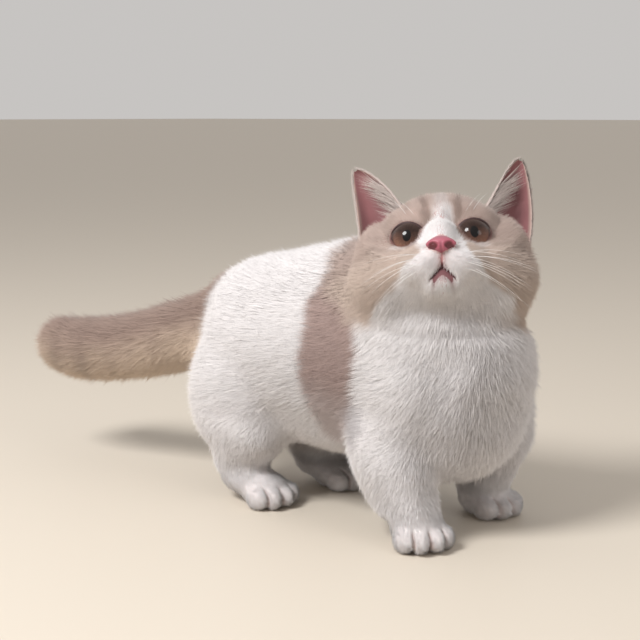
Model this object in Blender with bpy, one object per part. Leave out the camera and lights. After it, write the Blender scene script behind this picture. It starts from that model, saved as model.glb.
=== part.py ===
"""A munchkin kitten standing on short legs, head turned to its right and lifted, tail held out behind.

Metres, +Z up. The kitten faces -Y, its left side is +X, and its paws rest on z = 0. Lengths written as
multiples of MM are in millimetres. The flesh with its coat is modelled as overlapping masses and tubes,
fused into one smooth form, carved at the eyes, nose and mouth, and parted into its named pieces.
"""

import math

import bmesh
import bpy
import numpy as np
from mathutils import Matrix, Vector
from mathutils.bvhtree import BVHTree

MM = 0.001
LEFT, RIGHT = 1, -1
SIDES = {"left": LEFT, "right": RIGHT}

# Gap between neighbouring pieces
FIT_GAP = 0.3 * MM

# The trunk, from the rump to the chest: (y, height of the top line, height of the belly line, half width)
TRUNK_STATIONS = (
    (92, 117, 38, 29),
    (75, 123, 31, 41),
    (48, 128, 29, 45),
    (18, 134.5, 27, 46),
    (-14, 139.5, 27, 45.5),
    (-38, 131, 26, 44),
    (-54, 114, 28, 37),
)
CHEST = ((0, -49, 65), (39, 34, 41))
SHOULDER = ((27, -38, 72), (19, 27, 36))
THIGH = ((27, 64, 55.5), (21, 34.5, 37.5))

# The head: its centre, how far it is turned, lifted and tilted, and its masses as (centre, radii)
HEAD_CENTRE = Vector((-5, -43, 125.5))
HEAD_YAW, HEAD_PITCH, HEAD_ROLL = math.radians(-57.5), math.radians(31), math.radians(-4.5)
HEAD_MASSES = (
    ((0, 6, 7), (33.5, 34, 29)),
    ((0, -10, 11), (27, 19.5, 21)),
    ((0, -9, -11), (31, 25, 20)),
    ((0, -26, 1.5), (9.5, 12, 9.5)),
    ((0, -30.5, -4), (8, 10.5, 7.5)),
    ((0, -22, -9), (23, 15, 15)),
    ((0, -27.5, -21), (10, 9, 7.5)),
)
HEAD_PAIRS = (
    ((20, -3, -10), (23.5, 26, 21)),
    ((8.3, -28, -13.2), (11.5, 11, 8.8)),
    ((15, -16, 12), (14, 12, 10)),
    ((21, -17, -6), (15, 12, 12)),
    ((23, -3, 2.5), (18, 24, 19)),
)
EYE_CENTRE = Vector((13.7, -18.4, 5.8))
EYE_RADIUS = 9.4
EYE_SPLAY, EYE_LIFT = math.radians(14), math.radians(2)
EYE_OPENING = (7.9, 6.4, 5.7)
EYE_SLANT = math.radians(9)
EYE_BED = 1.5
LID_RADIUS, LID_CLEARANCE, LID_SPREAD = 1.0, 0.45, 1.06
NOSE_CENTRE, NOSE_RADII, NOSE_TAPER = Vector((0, -38.4, -6.2)), (4.9, 3.2, 4.6), 0.5
NOSTRIL, NOSTRIL_RADII = (3.7, -41.4, -6.4), (1.5, 2.6, 1.0)
NOSTRIL_TURN, NOSTRIL_TILT = math.radians(35), math.radians(20)
MOUTH_APEX = (0, -14.6)
MOUTH_CORNER = (13.5, -26)
MOUTH_GROOVE, MOUTH_SINK, MOUTH_BOW = 0.8, 0.25, 0.25
LIP_LINE = (5, 2.5, 0)

# Ears: where each is rooted and its tip, its cup's radius, how far its middle bows out to its own side,
# how far the cup wraps, and its wall
EAR_ROOT, EAR_TIP = Vector((23.4, 1.3, 5.8)), Vector((40.3, 5, 57.5))
EAR_FACING = Vector((0.42, -0.90, 0.0))
EAR_CUP, EAR_POINT, EAR_TAPER = 16.5, 1, 0.55
EAR_BOW = {LEFT: 3, RIGHT: -2}
EAR_WRAP_ROOT, EAR_WRAP_TIP = 118, 80
EAR_SETBACK = 0.25
EAR_WALL, EAR_THINNING, EAR_LEAST_BORE = 2.2, 0.45, 0.35
EAR_ROWS, EAR_ROW_EASING, EAR_ARC = 11, 1.6, 7

# Legs: paw centres on the floor and the way each paw points, turned from straight ahead, and the
# forelegs from the elbow down, as (x, y, z, half width, half depth) with their coat
PAWS = {
    "front_right": ((-32, -50), math.radians(-32)),
    "front_left": ((30.5, -47), math.radians(-6)),
    "hind_right": ((-28, 49), math.radians(-12)),
    "hind_left": ((21, 41), math.radians(2)),
}
HIND_PAW_SCALE = 0.98
PAW_MASSES = (((0, 1, 8), (12.5, 14.5, 10)), ((0, 2, 5), (10.9, 12.3, 6)))
TOES = ((-10, -7, 4.7), (-3.9, -11, 4.9), (3.9, -11, 4.9), (10, -7, 4.7))
TOE_HEIGHT, TOE_HALF_LENGTH, TOE_HALF_HEIGHT = 5.6, 7.4, 6.3
FORELEGS = {
    "right": ((-29, -33, 54, 17, 25), (-31, -35, 38, 16.5, 23), (-31.5, -42, 24, 14.5, 18.5)),
    "left": ((32.5, -47.5, 57, 18.5, 23), (32.5, -48.5, 41, 17, 21.5), (31, -47, 27, 15, 17)),
}
WRIST_HEIGHT = 17
HOCK_BEHIND, HOCK_HEIGHT, SHANK_HEIGHT, KNEE_HEIGHT = 22, 21, 31, 44

# Tail: its middle line from the rump to the tip, with half its thickness
TAIL_STATIONS = (
    (0, 84, 90, 21),
    (-8, 104, 83, 20.5),
    (-14, 130, 74.5, 19.5),
    (-20, 160, 67, 18.5),
    (-26, 188, 64, 18),
    (-29, 206, 65.5, 16),
)

# How finely the form is fused, and how many triangles it and its regions keep
VOXEL, MOUTH_VOXEL = 1.3 * MM, 0.3 * MM
FORM_TRIANGLES, MOUTH_TRIANGLES = 60000, 300
BODY_TRIANGLES, FACE_TRIANGLES, PAW_TRIANGLES = 1800, 1600, 1400
FACE_MIDDLE, FACE_REACH, FACE_OVERLAP, HEAD_REACH = (0, -28, -4), 28, 4, 46
TOE_TOP, PAW_TOP, ANKLE_TOP = 14, 15, 19

# How much the form is softened: fully on the body, and this share of it on the smaller shapes
SOFTENING_STEPS, SOFTENING_FACTOR = 45, 0.6
HEAD_SHARE, FACE_SHARE, ANKLE_SHARE, TOE_SHARE = 0.6, 0.35, 0.3, 0.06

# The regions that the form is parted by: half sizes in the head's axes, and places along the body
HEAD_ZONE = ((0, -3, 2), (54, 52, 40))
NECK_ZONE = ((0, -3, -2), (66, 66, 56))
TAIL_CUTS = {"tail_tip": 176, "tail_middle": 138, "tail_base": 108}
TAIL_REACH = 25
FRONT_LEG_ZONE, HIND_LEG_ZONE = ((21, 23, 46), 5), ((22, 30, 62), 11)
LEG_ZONE_HEIGHT, LEG_ZONE_SPREAD = 8, 1.06
PAW_ZONE_WIDTH, PAW_ZONE_FRONT, FRONT_PAW_BACK, HIND_PAW_BACK = 30, 34, 19, 34
CHEST_BACK, LOIN = -30, 38


def head_frame():
    """The head's own axes: -Y out of the nose, +X to its left, +Z out of its crown."""
    turn = Matrix.Rotation(HEAD_YAW, 4, "Z") @ Matrix.Rotation(-HEAD_PITCH, 4, "X")
    return Matrix.Translation(HEAD_CENTRE) @ turn @ Matrix.Rotation(HEAD_ROLL, 4, "Y")


HEAD = head_frame()
BODY = Matrix.Identity(4)


def sided(point, side):
    """A point given for the left side, on the side asked for."""
    return Vector((point[0] * side, point[1], point[2]))


def clear_scene():
    for obj in list(bpy.data.objects):
        bpy.data.objects.remove(obj)


def object_from(bm, name):
    """Turns a bmesh in millimetres into an object in metres."""
    bmesh.ops.recalc_face_normals(bm, faces=bm.faces)
    bmesh.ops.scale(bm, vec=(MM, MM, MM), verts=bm.verts)
    mesh = bpy.data.meshes.new(name)
    bm.to_mesh(mesh)
    bm.free()
    obj = bpy.data.objects.new(name, mesh)
    bpy.context.scene.collection.objects.link(obj)
    return obj


def apply_modifiers(obj):
    graph = bpy.context.evaluated_depsgraph_get()
    mesh = bpy.data.meshes.new_from_object(obj.evaluated_get(graph))
    obj.modifiers.clear()
    obj.data = mesh


def copied(obj, name):
    twin = bpy.data.objects.new(name, obj.data.copy())
    bpy.context.scene.collection.objects.link(twin)
    return twin


def combine(obj, other, operation):
    """Joins, cuts or intersects obj with other, which is then removed."""
    modifier = obj.modifiers.new(operation.lower(), "BOOLEAN")
    modifier.operation = operation
    modifier.object = other
    apply_modifiers(obj)
    bpy.data.objects.remove(other)


def keep_largest(obj):
    """Leaves only the largest closed surface."""
    bm = bmesh.new()
    bm.from_mesh(obj.data)
    bmesh.ops.remove_doubles(bm, verts=bm.verts, dist=1e-7)
    left, islands = set(bm.faces), []
    while left:
        stack, island = [left.pop()], []
        while stack:
            face = stack.pop()
            island.append(face)
            for edge in face.edges:
                for other in edge.link_faces:
                    if other in left:
                        left.remove(other)
                        stack.append(other)
        islands.append(island)
    islands.sort(key=lambda island: sum(face.calc_area() for face in island))
    spare = [face for island in islands[:-1] for face in island]
    bmesh.ops.delete(bm, geom=spare, context="FACES")
    bmesh.ops.delete(bm, geom=[v for v in bm.verts if not v.link_faces], context="VERTS")
    bmesh.ops.triangulate(bm, faces=bm.faces)
    bm.to_mesh(obj.data)
    bm.free()


def join_into(bm, piece):
    """Adds a finished bmesh to another. Made apart, each piece is quick however large the whole is."""
    mesh = bpy.data.meshes.new("piece")
    piece.to_mesh(mesh)
    piece.free()
    bm.from_mesh(mesh)
    bpy.data.meshes.remove(mesh)


def add_mass(bm, centre, radii, frame=BODY, fineness=1.0):
    """An ellipsoid, in the given frame."""
    place = frame @ Matrix.Translation(centre) @ Matrix.Diagonal((*radii, 1.0))
    ball = bmesh.new()
    segments, rings = int(32 * fineness), int(20 * fineness)
    bmesh.ops.create_uvsphere(ball, u_segments=segments, v_segments=rings, radius=1.0, matrix=place)
    join_into(bm, ball)


def smooth_curve(values, steps):
    """Points along a smooth curve through the values, each a Vector, with `steps` spans between two."""
    points = []
    last = len(values) - 1
    for i in range(last):
        start, end = values[i], values[i + 1]
        before, after = values[max(i - 1, 0)], values[min(i + 2, last)]
        for k in range(steps):
            t = k / steps
            linear = (end - before) * t
            square = (2 * before - 5 * start + 4 * end - after) * t * t
            cube = (3 * start - before - 3 * end + after) * t**3
            points.append(0.5 * (2 * start + linear + square + cube))
    points.append(values[-1])
    return points


def bridge_rings(bm, loops):
    """Quads between each ring of vertices and the next."""
    for a, b in zip(loops, loops[1:]):
        for i in range(len(a)):
            j = (i + 1) % len(a)
            bm.faces.new((a[i], a[j], b[j], b[i]))


def round_cap(ring, sign):
    """The rings that close one end of a tube, from its last ring out."""
    centre, along, width, height = ring
    reach = sign * 0.8 * min(width, height)
    angles = [math.radians(a) for a in (30, 55, 75)]
    return [
        (centre + along * reach * math.sin(a), along, width * math.cos(a), height * math.cos(a))
        for a in angles
    ]


def add_tube(bm, stations, sideways=Vector((1, 0, 0)), sides=28, steps=4):
    """A round-ended tube through stations (x, y, z, half width, half height)."""
    rows = smooth_curve([Vector(station) for station in stations], steps)
    centres = [row.xyz for row in rows]
    last = len(rows) - 1
    rings = []
    for i, row in enumerate(rows):
        along = (centres[min(i + 1, last)] - centres[max(i - 1, 0)]).normalized()
        rings.append((centres[i], along, row[3], row[4]))
    start, end = round_cap(rings[0], -1), round_cap(rings[-1], 1)
    tube, loops = bmesh.new(), []
    for centre, along, width, height in start[::-1] + rings + end:
        across = (sideways - along * sideways.dot(along)).normalized()
        up = across.cross(along).normalized()
        axes = Matrix((across * width, up * height, along)).transposed().to_4x4()
        place = Matrix.Translation(centre) @ axes
        loops.append(bmesh.ops.create_circle(tube, segments=sides, radius=1.0, matrix=place)["verts"])
    bridge_rings(tube, loops)
    tube.faces.new(loops[0][::-1])
    tube.faces.new(loops[-1])
    join_into(bm, tube)


def add_trunk(bm):
    stations = [
        (0, y, (top + belly) / 2, half_width, (top - belly) / 2)
        for y, top, belly, half_width in TRUNK_STATIONS
    ]
    add_tube(bm, stations, sides=40)
    add_mass(bm, *CHEST)
    for side in SIDES.values():
        add_mass(bm, sided(SHOULDER[0], side), SHOULDER[1])


def add_neck(bm):
    add_tube(bm, ((0, -22, 88, 38, 36), (-1, -32, 104, 35, 34), (-4, -40, 120, 29, 29)))


def add_head(bm):
    for centre, radii in HEAD_MASSES:
        add_mass(bm, centre, radii, HEAD)
    for side in SIDES.values():
        for centre, radii in HEAD_PAIRS:
            add_mass(bm, sided(centre, side), radii, HEAD)
        bed = EYE_RADIUS + EYE_BED
        add_mass(bm, sided(EYE_CENTRE, side), (bed, bed, bed), HEAD)


def add_tail(bm):
    add_tube(bm, [(x, y, z, r, r) for x, y, z, r in TAIL_STATIONS])


def paw_frame(name):
    (x, y), turn = PAWS[name]
    return Matrix.Translation((x, y, 0)) @ Matrix.Rotation(turn, 4, "Z")


def add_paw(bm, name, scale=1.0):
    """A paw of four toes over its pad, pointing along -Y of its own frame."""
    place = paw_frame(name) @ Matrix.Scale(scale, 4)
    for centre, radii in PAW_MASSES:
        add_mass(bm, centre, radii, place)
    for x, y, width in TOES:
        add_mass(bm, (x, y, TOE_HEIGHT), (width, TOE_HALF_LENGTH, TOE_HALF_HEIGHT), place)


def add_front_leg(bm, side_name):
    (x, y), _ = PAWS["front_" + side_name]
    wrist = ((x, y + 3, WRIST_HEIGHT, 13, 14), (x, y + 1, WRIST_HEIGHT - 6, 12.5, 12.5))
    add_tube(bm, FORELEGS[side_name] + wrist)
    add_paw(bm, "front_" + side_name)


def add_hind_leg(bm, side_name):
    """The thigh, the shank back to the hock, and the foot forward from it."""
    side = SIDES[side_name]
    (x, y), _ = PAWS["hind_" + side_name]
    thigh, radii = THIGH
    swing = (y - PAWS["hind_right"][0][1]) * 0.5
    add_mass(bm, (thigh[0] * side, thigh[1] + swing, thigh[2]), radii)
    hock = y + HOCK_BEHIND
    shank = (
        (x * 1.03, hock - 18, KNEE_HEIGHT, 18, 22),
        (x, hock - 7, SHANK_HEIGHT, 16, 20),
        (x, hock - 3, HOCK_HEIGHT, 13, 14),
    )
    add_tube(bm, shank)
    foot = ((x, hock - 5, HOCK_HEIGHT - 6, 11.5, 12), (x, y + 6, HOCK_HEIGHT - 10, 12, 10.5))
    add_tube(bm, foot)
    add_paw(bm, "hind_" + side_name, HIND_PAW_SCALE)


def fuse(obj, voxel):
    """Makes overlapping closed surfaces one."""
    remesh = obj.modifiers.new("fuse", "REMESH")
    remesh.mode = "VOXEL"
    remesh.voxel_size = voxel
    apply_modifiers(obj)


def places(obj):
    """Every vertex's place, and its place in the head's axes, as rows in millimetres."""
    points = np.empty(len(obj.data.vertices) * 3)
    obj.data.vertices.foreach_get("co", points)
    points = points.reshape(-1, 3) / MM
    return points, (points - np.array(HEAD_CENTRE)) @ np.array(HEAD.to_3x3())


def near_face(local, radius):
    return np.linalg.norm(local - np.array(FACE_MIDDLE), axis=1) < radius


def weigh(obj, weights):
    """A vertex group with a weight for every vertex, from an array."""
    group = obj.vertex_groups.new(name="weights")
    for weight in np.unique(weights):
        group.add(np.flatnonzero(weights == weight).tolist(), float(weight), "REPLACE")
    return group.name


def soften(obj):
    """Smooths the form: fully on the body, lightly on the face and feet."""
    points, local = places(obj)
    weights = np.ones(len(points))
    weights[points[:, 2] < ANKLE_TOP] = ANKLE_SHARE
    weights[points[:, 2] < TOE_TOP] = TOE_SHARE
    weights[np.linalg.norm(local, axis=1) < HEAD_REACH] = HEAD_SHARE
    weights[near_face(local, FACE_REACH)] = FACE_SHARE
    smooth = obj.modifiers.new("soften", "SMOOTH")
    smooth.factor = SOFTENING_FACTOR
    smooth.iterations = SOFTENING_STEPS
    smooth.vertex_group = weigh(obj, weights)
    apply_modifiers(obj)
    obj.vertex_groups.clear()


def thin_out(obj, triangles, inside=None):
    """Decimates to about so many triangles, all over or only where the mask `inside` is true."""
    now = sum(len(polygon.vertices) - 2 for polygon in obj.data.polygons)
    thin = obj.modifiers.new("thin", "DECIMATE")
    thin.ratio = triangles / now
    if inside is not None:
        marked = set(np.flatnonzero(inside).tolist())
        held = [polygon for polygon in obj.data.polygons if not marked.issuperset(polygon.vertices)]
        thin.ratio = (triangles + sum(len(polygon.vertices) - 2 for polygon in held)) / now
        thin.vertex_group = weigh(obj, inside.astype(float))
    apply_modifiers(obj)
    obj.vertex_groups.clear()


def fused_form():
    """All the flesh and coat as one smooth closed form."""
    bm = bmesh.new()
    add_trunk(bm)
    add_neck(bm)
    add_head(bm)
    add_tail(bm)
    for side_name in SIDES:
        add_front_leg(bm, side_name)
        add_hind_leg(bm, side_name)
    form = object_from(bm, "form")
    fuse(form, VOXEL)
    soften(form)
    thin_out(form, FORM_TRIANGLES)
    points, local = places(form)
    thin_out(form, BODY_TRIANGLES, ~near_face(local, FACE_REACH) & (points[:, 2] > PAW_TOP))
    points, local = places(form)
    thin_out(form, FACE_TRIANGLES, near_face(local, FACE_REACH + FACE_OVERLAP))
    points, local = places(form)
    thin_out(form, PAW_TRIANGLES, points[:, 2] < ANKLE_TOP)
    keep_largest(form)
    return form


def ellipsoid(name, centre, radii, frame=BODY, grow=0.0, fineness=1.0):
    bm = bmesh.new()
    add_mass(bm, centre, [r + grow for r in radii], frame, fineness)
    return object_from(bm, name)


def eye_frame(side):
    """Axes of one eye: -Y out of the pupil."""
    turn = Matrix.Rotation(side * EYE_SPLAY, 4, "Z") @ Matrix.Rotation(-EYE_LIFT, 4, "X")
    slant = Matrix.Rotation(-side * EYE_SLANT, 4, "Y")
    return HEAD @ Matrix.Translation(sided(EYE_CENTRE, side)) @ turn @ slant


def eyeball(name, side, grow=0.0):
    return ellipsoid(name, (0, 0, 0), (EYE_RADIUS,) * 3, eye_frame(side), grow, fineness=0.5)


def opening_outline(count):
    """The almond between the lids, as (across, up) in the eye's own axes."""
    half_width, upper, lower = EYE_OPENING
    points = []
    for i in range(count):
        angle = 2 * math.pi * i / count
        rise = math.sin(angle)
        reach = upper if rise > 0 else lower
        points.append((half_width * math.cos(angle), reach * math.copysign(abs(rise) ** 1.15, rise)))
    return points


def carve_eye(form, side):
    """Sets a round socket behind an almond opening, with a raised lid round it."""
    combine(form, eyeball("socket", side, FIT_GAP / MM), "DIFFERENCE")
    outline = opening_outline(20)
    frame = eye_frame(side)
    bm = bmesh.new()
    base = [bm.verts.new(frame @ Vector((x, 0, z))) for x, z in outline]
    face = bm.faces.new(base)
    grown = bmesh.ops.extrude_face_region(bm, geom=[face])["geom"]
    outward = frame.to_3x3() @ Vector((0, -20, 0))
    bmesh.ops.translate(bm, vec=outward, verts=[v for v in grown if isinstance(v, bmesh.types.BMVert)])
    combine(form, object_from(bm, "opening"), "DIFFERENCE")
    combine(form, lid_rim(frame, outline), "UNION")


def lid_rim(frame, outline):
    """A closed ring of flesh that follows the almond just clear of the eyeball."""
    reach = EYE_RADIUS + LID_CLEARANCE + LID_RADIUS
    points = []
    for x, z in outline:
        x, z = x * LID_SPREAD, z * LID_SPREAD
        points.append(Vector((x, -math.sqrt(reach**2 - x**2 - z**2), z)))
    bm = bmesh.new()
    count, loops = len(points), []
    for i, point in enumerate(points):
        along = (points[(i + 1) % count] - points[i - 1]).normalized()
        outward = point.normalized()
        across = along.cross(outward).normalized()
        outward = across.cross(along).normalized()
        axes = Matrix((across * LID_RADIUS, outward * LID_RADIUS, along)).transposed().to_4x4()
        place = frame @ Matrix.Translation(point) @ axes
        loops.append(bmesh.ops.create_circle(bm, segments=6, radius=1.0, matrix=place)["verts"])
    bridge_rings(bm, loops + loops[:1])
    return object_from(bm, "lid")


def nose_form(name, grow=0.0):
    """The bare nose: wide along its top and narrowing down to the line of the lip."""
    bm = bmesh.new()
    bmesh.ops.create_uvsphere(bm, u_segments=14, v_segments=10, radius=1.0)
    across, deep, high = (radius + grow for radius in NOSE_RADII)
    for vertex in bm.verts:
        x, y, z = vertex.co
        vertex.co = HEAD @ (NOSE_CENTRE + Vector((x * across * (1 + NOSE_TAPER * z), y * deep, z * high)))
    return object_from(bm, name)


def seat_nose(form):
    """Recesses the muzzle for the nose, and opens the nostrils in it."""
    nose = nose_form("nose")
    combine(form, nose_form("seat", FIT_GAP / MM), "DIFFERENCE")
    for side in SIDES.values():
        turn = Matrix.Rotation(side * NOSTRIL_TURN, 4, "Z") @ Matrix.Rotation(side * NOSTRIL_TILT, 4, "Y")
        place = HEAD @ Matrix.Translation(sided(NOSTRIL, side)) @ turn
        combine(nose, ellipsoid("nostril", (0, 0, 0), NOSTRIL_RADII, place, fineness=0.35), "DIFFERENCE")
    keep_largest(nose)
    return nose


def on_face(tree, x, z):
    """Where a line from in front of the face, at (x, z) of the head's axes, meets the skin."""
    start = HEAD @ Vector((x, -80, z))
    heading = (HEAD.to_3x3() @ Vector((0, 1, 0))).normalized()
    hit = tree.ray_cast(start * MM, heading)[0]
    return hit / MM + heading * MOUTH_SINK


def carve_mouth(form):
    """Grooves for the line under the nose and for the mouth, an upturned V over the chin."""
    bm = bmesh.new()
    bm.from_mesh(form.data)
    tree = BVHTree.FromBMesh(bm)
    bm.free()
    across, down = MOUTH_CORNER[0], MOUTH_CORNER[1] - MOUTH_APEX[1]
    shares = (0, 0.3, 0.6, 0.83, 1)
    runs = [
        [(side * across * s, MOUTH_APEX[1] + down * (s + MOUTH_BOW * s * (1 - s))) for s in shares]
        for side in SIDES.values()
    ]
    runs.append([(0, MOUTH_APEX[1] + rise) for rise in LIP_LINE])
    grooves = bmesh.new()
    for run in runs:
        stations = [(*on_face(tree, x, z), MOUTH_GROOVE, MOUTH_GROOVE) for x, z in run]
        add_tube(grooves, stations, sideways=Vector((0.31, 0.37, 0.87)), sides=8, steps=2)
    cutter = object_from(grooves, "mouth")
    fuse(cutter, MOUTH_VOXEL)
    thin_out(cutter, MOUTH_TRIANGLES)
    combine(form, cutter, "DIFFERENCE")
    keep_largest(form)


def ear_section(share):
    """The cup's radius, half the angle it wraps and its inner radius, at a share of the ear's length."""
    radius = EAR_CUP * (1 - share) ** EAR_TAPER + EAR_POINT
    wrap = math.radians(EAR_WRAP_ROOT + (EAR_WRAP_TIP - EAR_WRAP_ROOT) * share)
    wall = EAR_WALL * (1 - EAR_THINNING * share)
    return radius, wrap, max(radius - wall, EAR_LEAST_BORE * radius)


def ear_form(side):
    """A cupped, pointed ear, open to the front and outer side, its root sunk below the skin."""
    axis = (EAR_TIP - EAR_ROOT).normalized()
    facing = (EAR_FACING - axis * EAR_FACING.dot(axis)).normalized()
    across = axis.cross(facing)
    length = (EAR_TIP - EAR_ROOT).length
    bm = bmesh.new()
    loops = []
    for row in range(EAR_ROWS):
        share = 1 - (1 - row / (EAR_ROWS - 1)) ** EAR_ROW_EASING
        radius, wrap, bore = ear_section(share)
        bow = across * EAR_BOW[side] * 4 * share * (1 - share)
        middle = EAR_ROOT + axis * length * share + bow - facing * EAR_SETBACK * radius
        outer, inner = [], []
        for k in range(EAR_ARC + 1):
            angle = wrap * (2 * k / EAR_ARC - 1)
            ray = across * math.sin(angle) - facing * math.cos(angle)
            outer.append(middle + ray * radius)
            inner.append(middle + ray * bore)
        loops.append([bm.verts.new(HEAD @ sided(p, side)) for p in outer + inner[::-1]])
    bridge_rings(bm, loops)
    for loop in (loops[0], loops[-1]):
        half = len(loop) // 2
        for i in range(half - 1):
            bm.faces.new((loop[i], loop[i + 1], loop[-2 - i], loop[-1 - i]))
    bmesh.ops.triangulate(bm, faces=bm.faces)
    return object_from(bm, "ear")


def seat_ear(form, side, name):
    """Cuts an ear's root along the skin, a gap clear of it."""
    ear = ear_form(side)
    ear.name = name
    skull = copied(form, "skull")
    grow = skull.modifiers.new("grow", "DISPLACE")
    grow.strength = FIT_GAP
    grow.mid_level = 0.0
    apply_modifiers(skull)
    combine(ear, skull, "DIFFERENCE")
    keep_largest(ear)
    return ear


def block(name, low, high, frame=BODY):
    bm = bmesh.new()
    size = [b - a for a, b in zip(low, high)]
    middle = [(a + b) / 2 for a, b in zip(low, high)]
    place = frame @ Matrix.Translation(middle) @ Matrix.Diagonal((*size, 1.0))
    bmesh.ops.create_cube(bm, size=1.0, matrix=place)
    return object_from(bm, name)


def stand_on_floor(form):
    """Cuts the paws flat at z = 0."""
    combine(form, block("floor", (-150, -200, -40), (150, 300, 0)), "DIFFERENCE")


def cross_tail(y):
    """A frame at y on the tail, its +Y running towards the tip."""
    ahead = min((s for s in TAIL_STATIONS if s[1] > y), key=lambda s: s[1])
    before = max((s for s in TAIL_STATIONS if s[1] <= y), key=lambda s: s[1])
    along = (Vector(ahead[:3]) - Vector(before[:3])).normalized()
    share = (y - before[1]) / (ahead[1] - before[1])
    point = Vector(before[:3]).lerp(Vector(ahead[:3]), share)
    return Matrix.Translation(point) @ Vector((0, 1, 0)).rotation_difference(along).to_matrix().to_4x4()


def head_zone(zone):
    centre, radii = zone
    return lambda grow: ellipsoid("zone", centre, radii, HEAD, grow, 0.65)


def leg_zone(name, zone):
    (x, y), _ = PAWS[name]
    radii, behind = zone
    centre = (x * LEG_ZONE_SPREAD, y + behind, LEG_ZONE_HEIGHT)
    return lambda grow: ellipsoid("zone", centre, radii, BODY, grow, 0.5)


def block_zone(low, high, frame=BODY):
    return lambda grow: block("zone", [v - grow for v in low], [v + grow for v in high], frame)


def paw_zone(name, behind):
    (x, y), _ = PAWS[name]
    low = (x - PAW_ZONE_WIDTH, y - PAW_ZONE_FRONT, -5)
    return block_zone(low, (x + PAW_ZONE_WIDTH, y + behind, PAW_TOP))


def zones():
    """The region that each piece takes from the form, in turn, as a function of how far it is grown."""
    yield "head", head_zone(HEAD_ZONE)
    yield "neck", head_zone(NECK_ZONE)
    for name, y in TAIL_CUTS.items():
        reach = TAIL_REACH
        yield name, block_zone((-reach, 0, -reach), (reach, 150, reach), cross_tail(y))
    for side in SIDES:
        yield "front_paw_" + side, paw_zone("front_" + side, FRONT_PAW_BACK)
        yield "front_leg_" + side, leg_zone("front_" + side, FRONT_LEG_ZONE)
        yield "hind_paw_" + side, paw_zone("hind_" + side, HIND_PAW_BACK)
        yield "hind_leg_" + side, leg_zone("hind_" + side, HIND_LEG_ZONE)
    yield "chest", block_zone((-80, -150, -20), (80, CHEST_BACK, 200))
    yield "hindquarters", block_zone((-80, LOIN, -20), (80, 300, 200))


def part_form(form):
    """Parts the form into its pieces with thin cuts. What is left in the end is the belly and back."""
    pieces = []
    for name, zone in zones():
        piece = copied(form, name)
        combine(piece, zone(0.0), "INTERSECT")
        keep_largest(piece)
        combine(form, zone(FIT_GAP / MM), "DIFFERENCE")
        keep_largest(form)
        pieces.append(piece)
    form.name = "barrel"
    return pieces + [form]


def material(name, colour, roughness):
    made = bpy.data.materials.new(name)
    made.use_nodes = True
    shader = made.node_tree.nodes["Principled BSDF"]
    shader.inputs["Base Color"].default_value = (*colour, 1.0)
    shader.inputs["Roughness"].default_value = roughness
    shader.inputs["Metallic"].default_value = 0.0
    return made


def dress(pieces):
    """Gives each piece its own material, shaded smooth."""
    white, fawn = ((0.86, 0.83, 0.79), 0.9), ((0.55, 0.44, 0.38), 0.9)
    finishes = {
        "eye": ((0.33, 0.19, 0.12), 0.1),
        "nose": ((0.72, 0.32, 0.34), 0.45),
        "ear": ((0.66, 0.52, 0.48), 0.8),
        "head": fawn,
        "tail": fawn,
    }
    for piece in pieces:
        colour, roughness = finishes.get(piece.name.split("_")[0], white)
        piece.data.materials.clear()
        piece.data.materials.append(material(piece.name, colour, roughness))
        piece.data.shade_smooth()
        piece.data.set_sharp_from_angle(angle=math.radians(40))


def centre_on_origin(pieces):
    """Moves every mesh so that the origin is under the middle of the whole kitten."""
    spots = [vertex.co for piece in pieces for vertex in piece.data.vertices]
    middle = [(min(s[k] for s in spots) + max(s[k] for s in spots)) / 2 for k in (0, 1)]
    for piece in pieces:
        piece.data.transform(Matrix.Translation((-middle[0], -middle[1], 0)))


def main():
    clear_scene()
    form = fused_form()
    stand_on_floor(form)
    ears = [seat_ear(form, side, "ear_" + name) for name, side in SIDES.items()]
    eyes = [eyeball("eye_" + name, side) for name, side in SIDES.items()]
    for side in SIDES.values():
        carve_eye(form, side)
    nose = seat_nose(form)
    carve_mouth(form)
    pieces = part_form(form) + ears + eyes + [nose]
    dress(pieces)
    centre_on_origin(pieces)


main()
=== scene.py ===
"""The looks of a munchkin kitten that stands on short legs: skin, plush coat, eyes, nose, mouth and whiskers.

Shapes are worked out in millimetres in the kitten's own axes, where it faces -Y, its left is +X and its paws
stand on z = 0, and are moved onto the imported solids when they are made.
"""

import logging
import math
from dataclasses import dataclass, field
from enum import Enum

import bmesh
import bpy
import numpy as np
from mathutils import Matrix, Vector
from mathutils.bvhtree import BVHTree


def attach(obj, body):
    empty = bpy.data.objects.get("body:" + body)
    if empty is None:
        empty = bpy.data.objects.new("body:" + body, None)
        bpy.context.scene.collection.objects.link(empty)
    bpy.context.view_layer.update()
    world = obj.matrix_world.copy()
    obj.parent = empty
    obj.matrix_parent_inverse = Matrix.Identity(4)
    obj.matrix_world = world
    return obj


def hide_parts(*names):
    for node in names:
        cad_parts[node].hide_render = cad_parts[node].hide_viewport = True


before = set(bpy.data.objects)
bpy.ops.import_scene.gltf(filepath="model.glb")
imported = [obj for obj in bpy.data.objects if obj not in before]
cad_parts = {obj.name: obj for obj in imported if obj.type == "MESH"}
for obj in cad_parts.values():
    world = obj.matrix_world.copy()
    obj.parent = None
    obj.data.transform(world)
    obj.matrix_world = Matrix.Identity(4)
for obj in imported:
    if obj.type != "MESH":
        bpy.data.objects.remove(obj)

MM = 0.001
SIDES = {"left": 1, "right": -1}
LOG = logging.getLogger("kitten")
Array = np.ndarray


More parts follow.
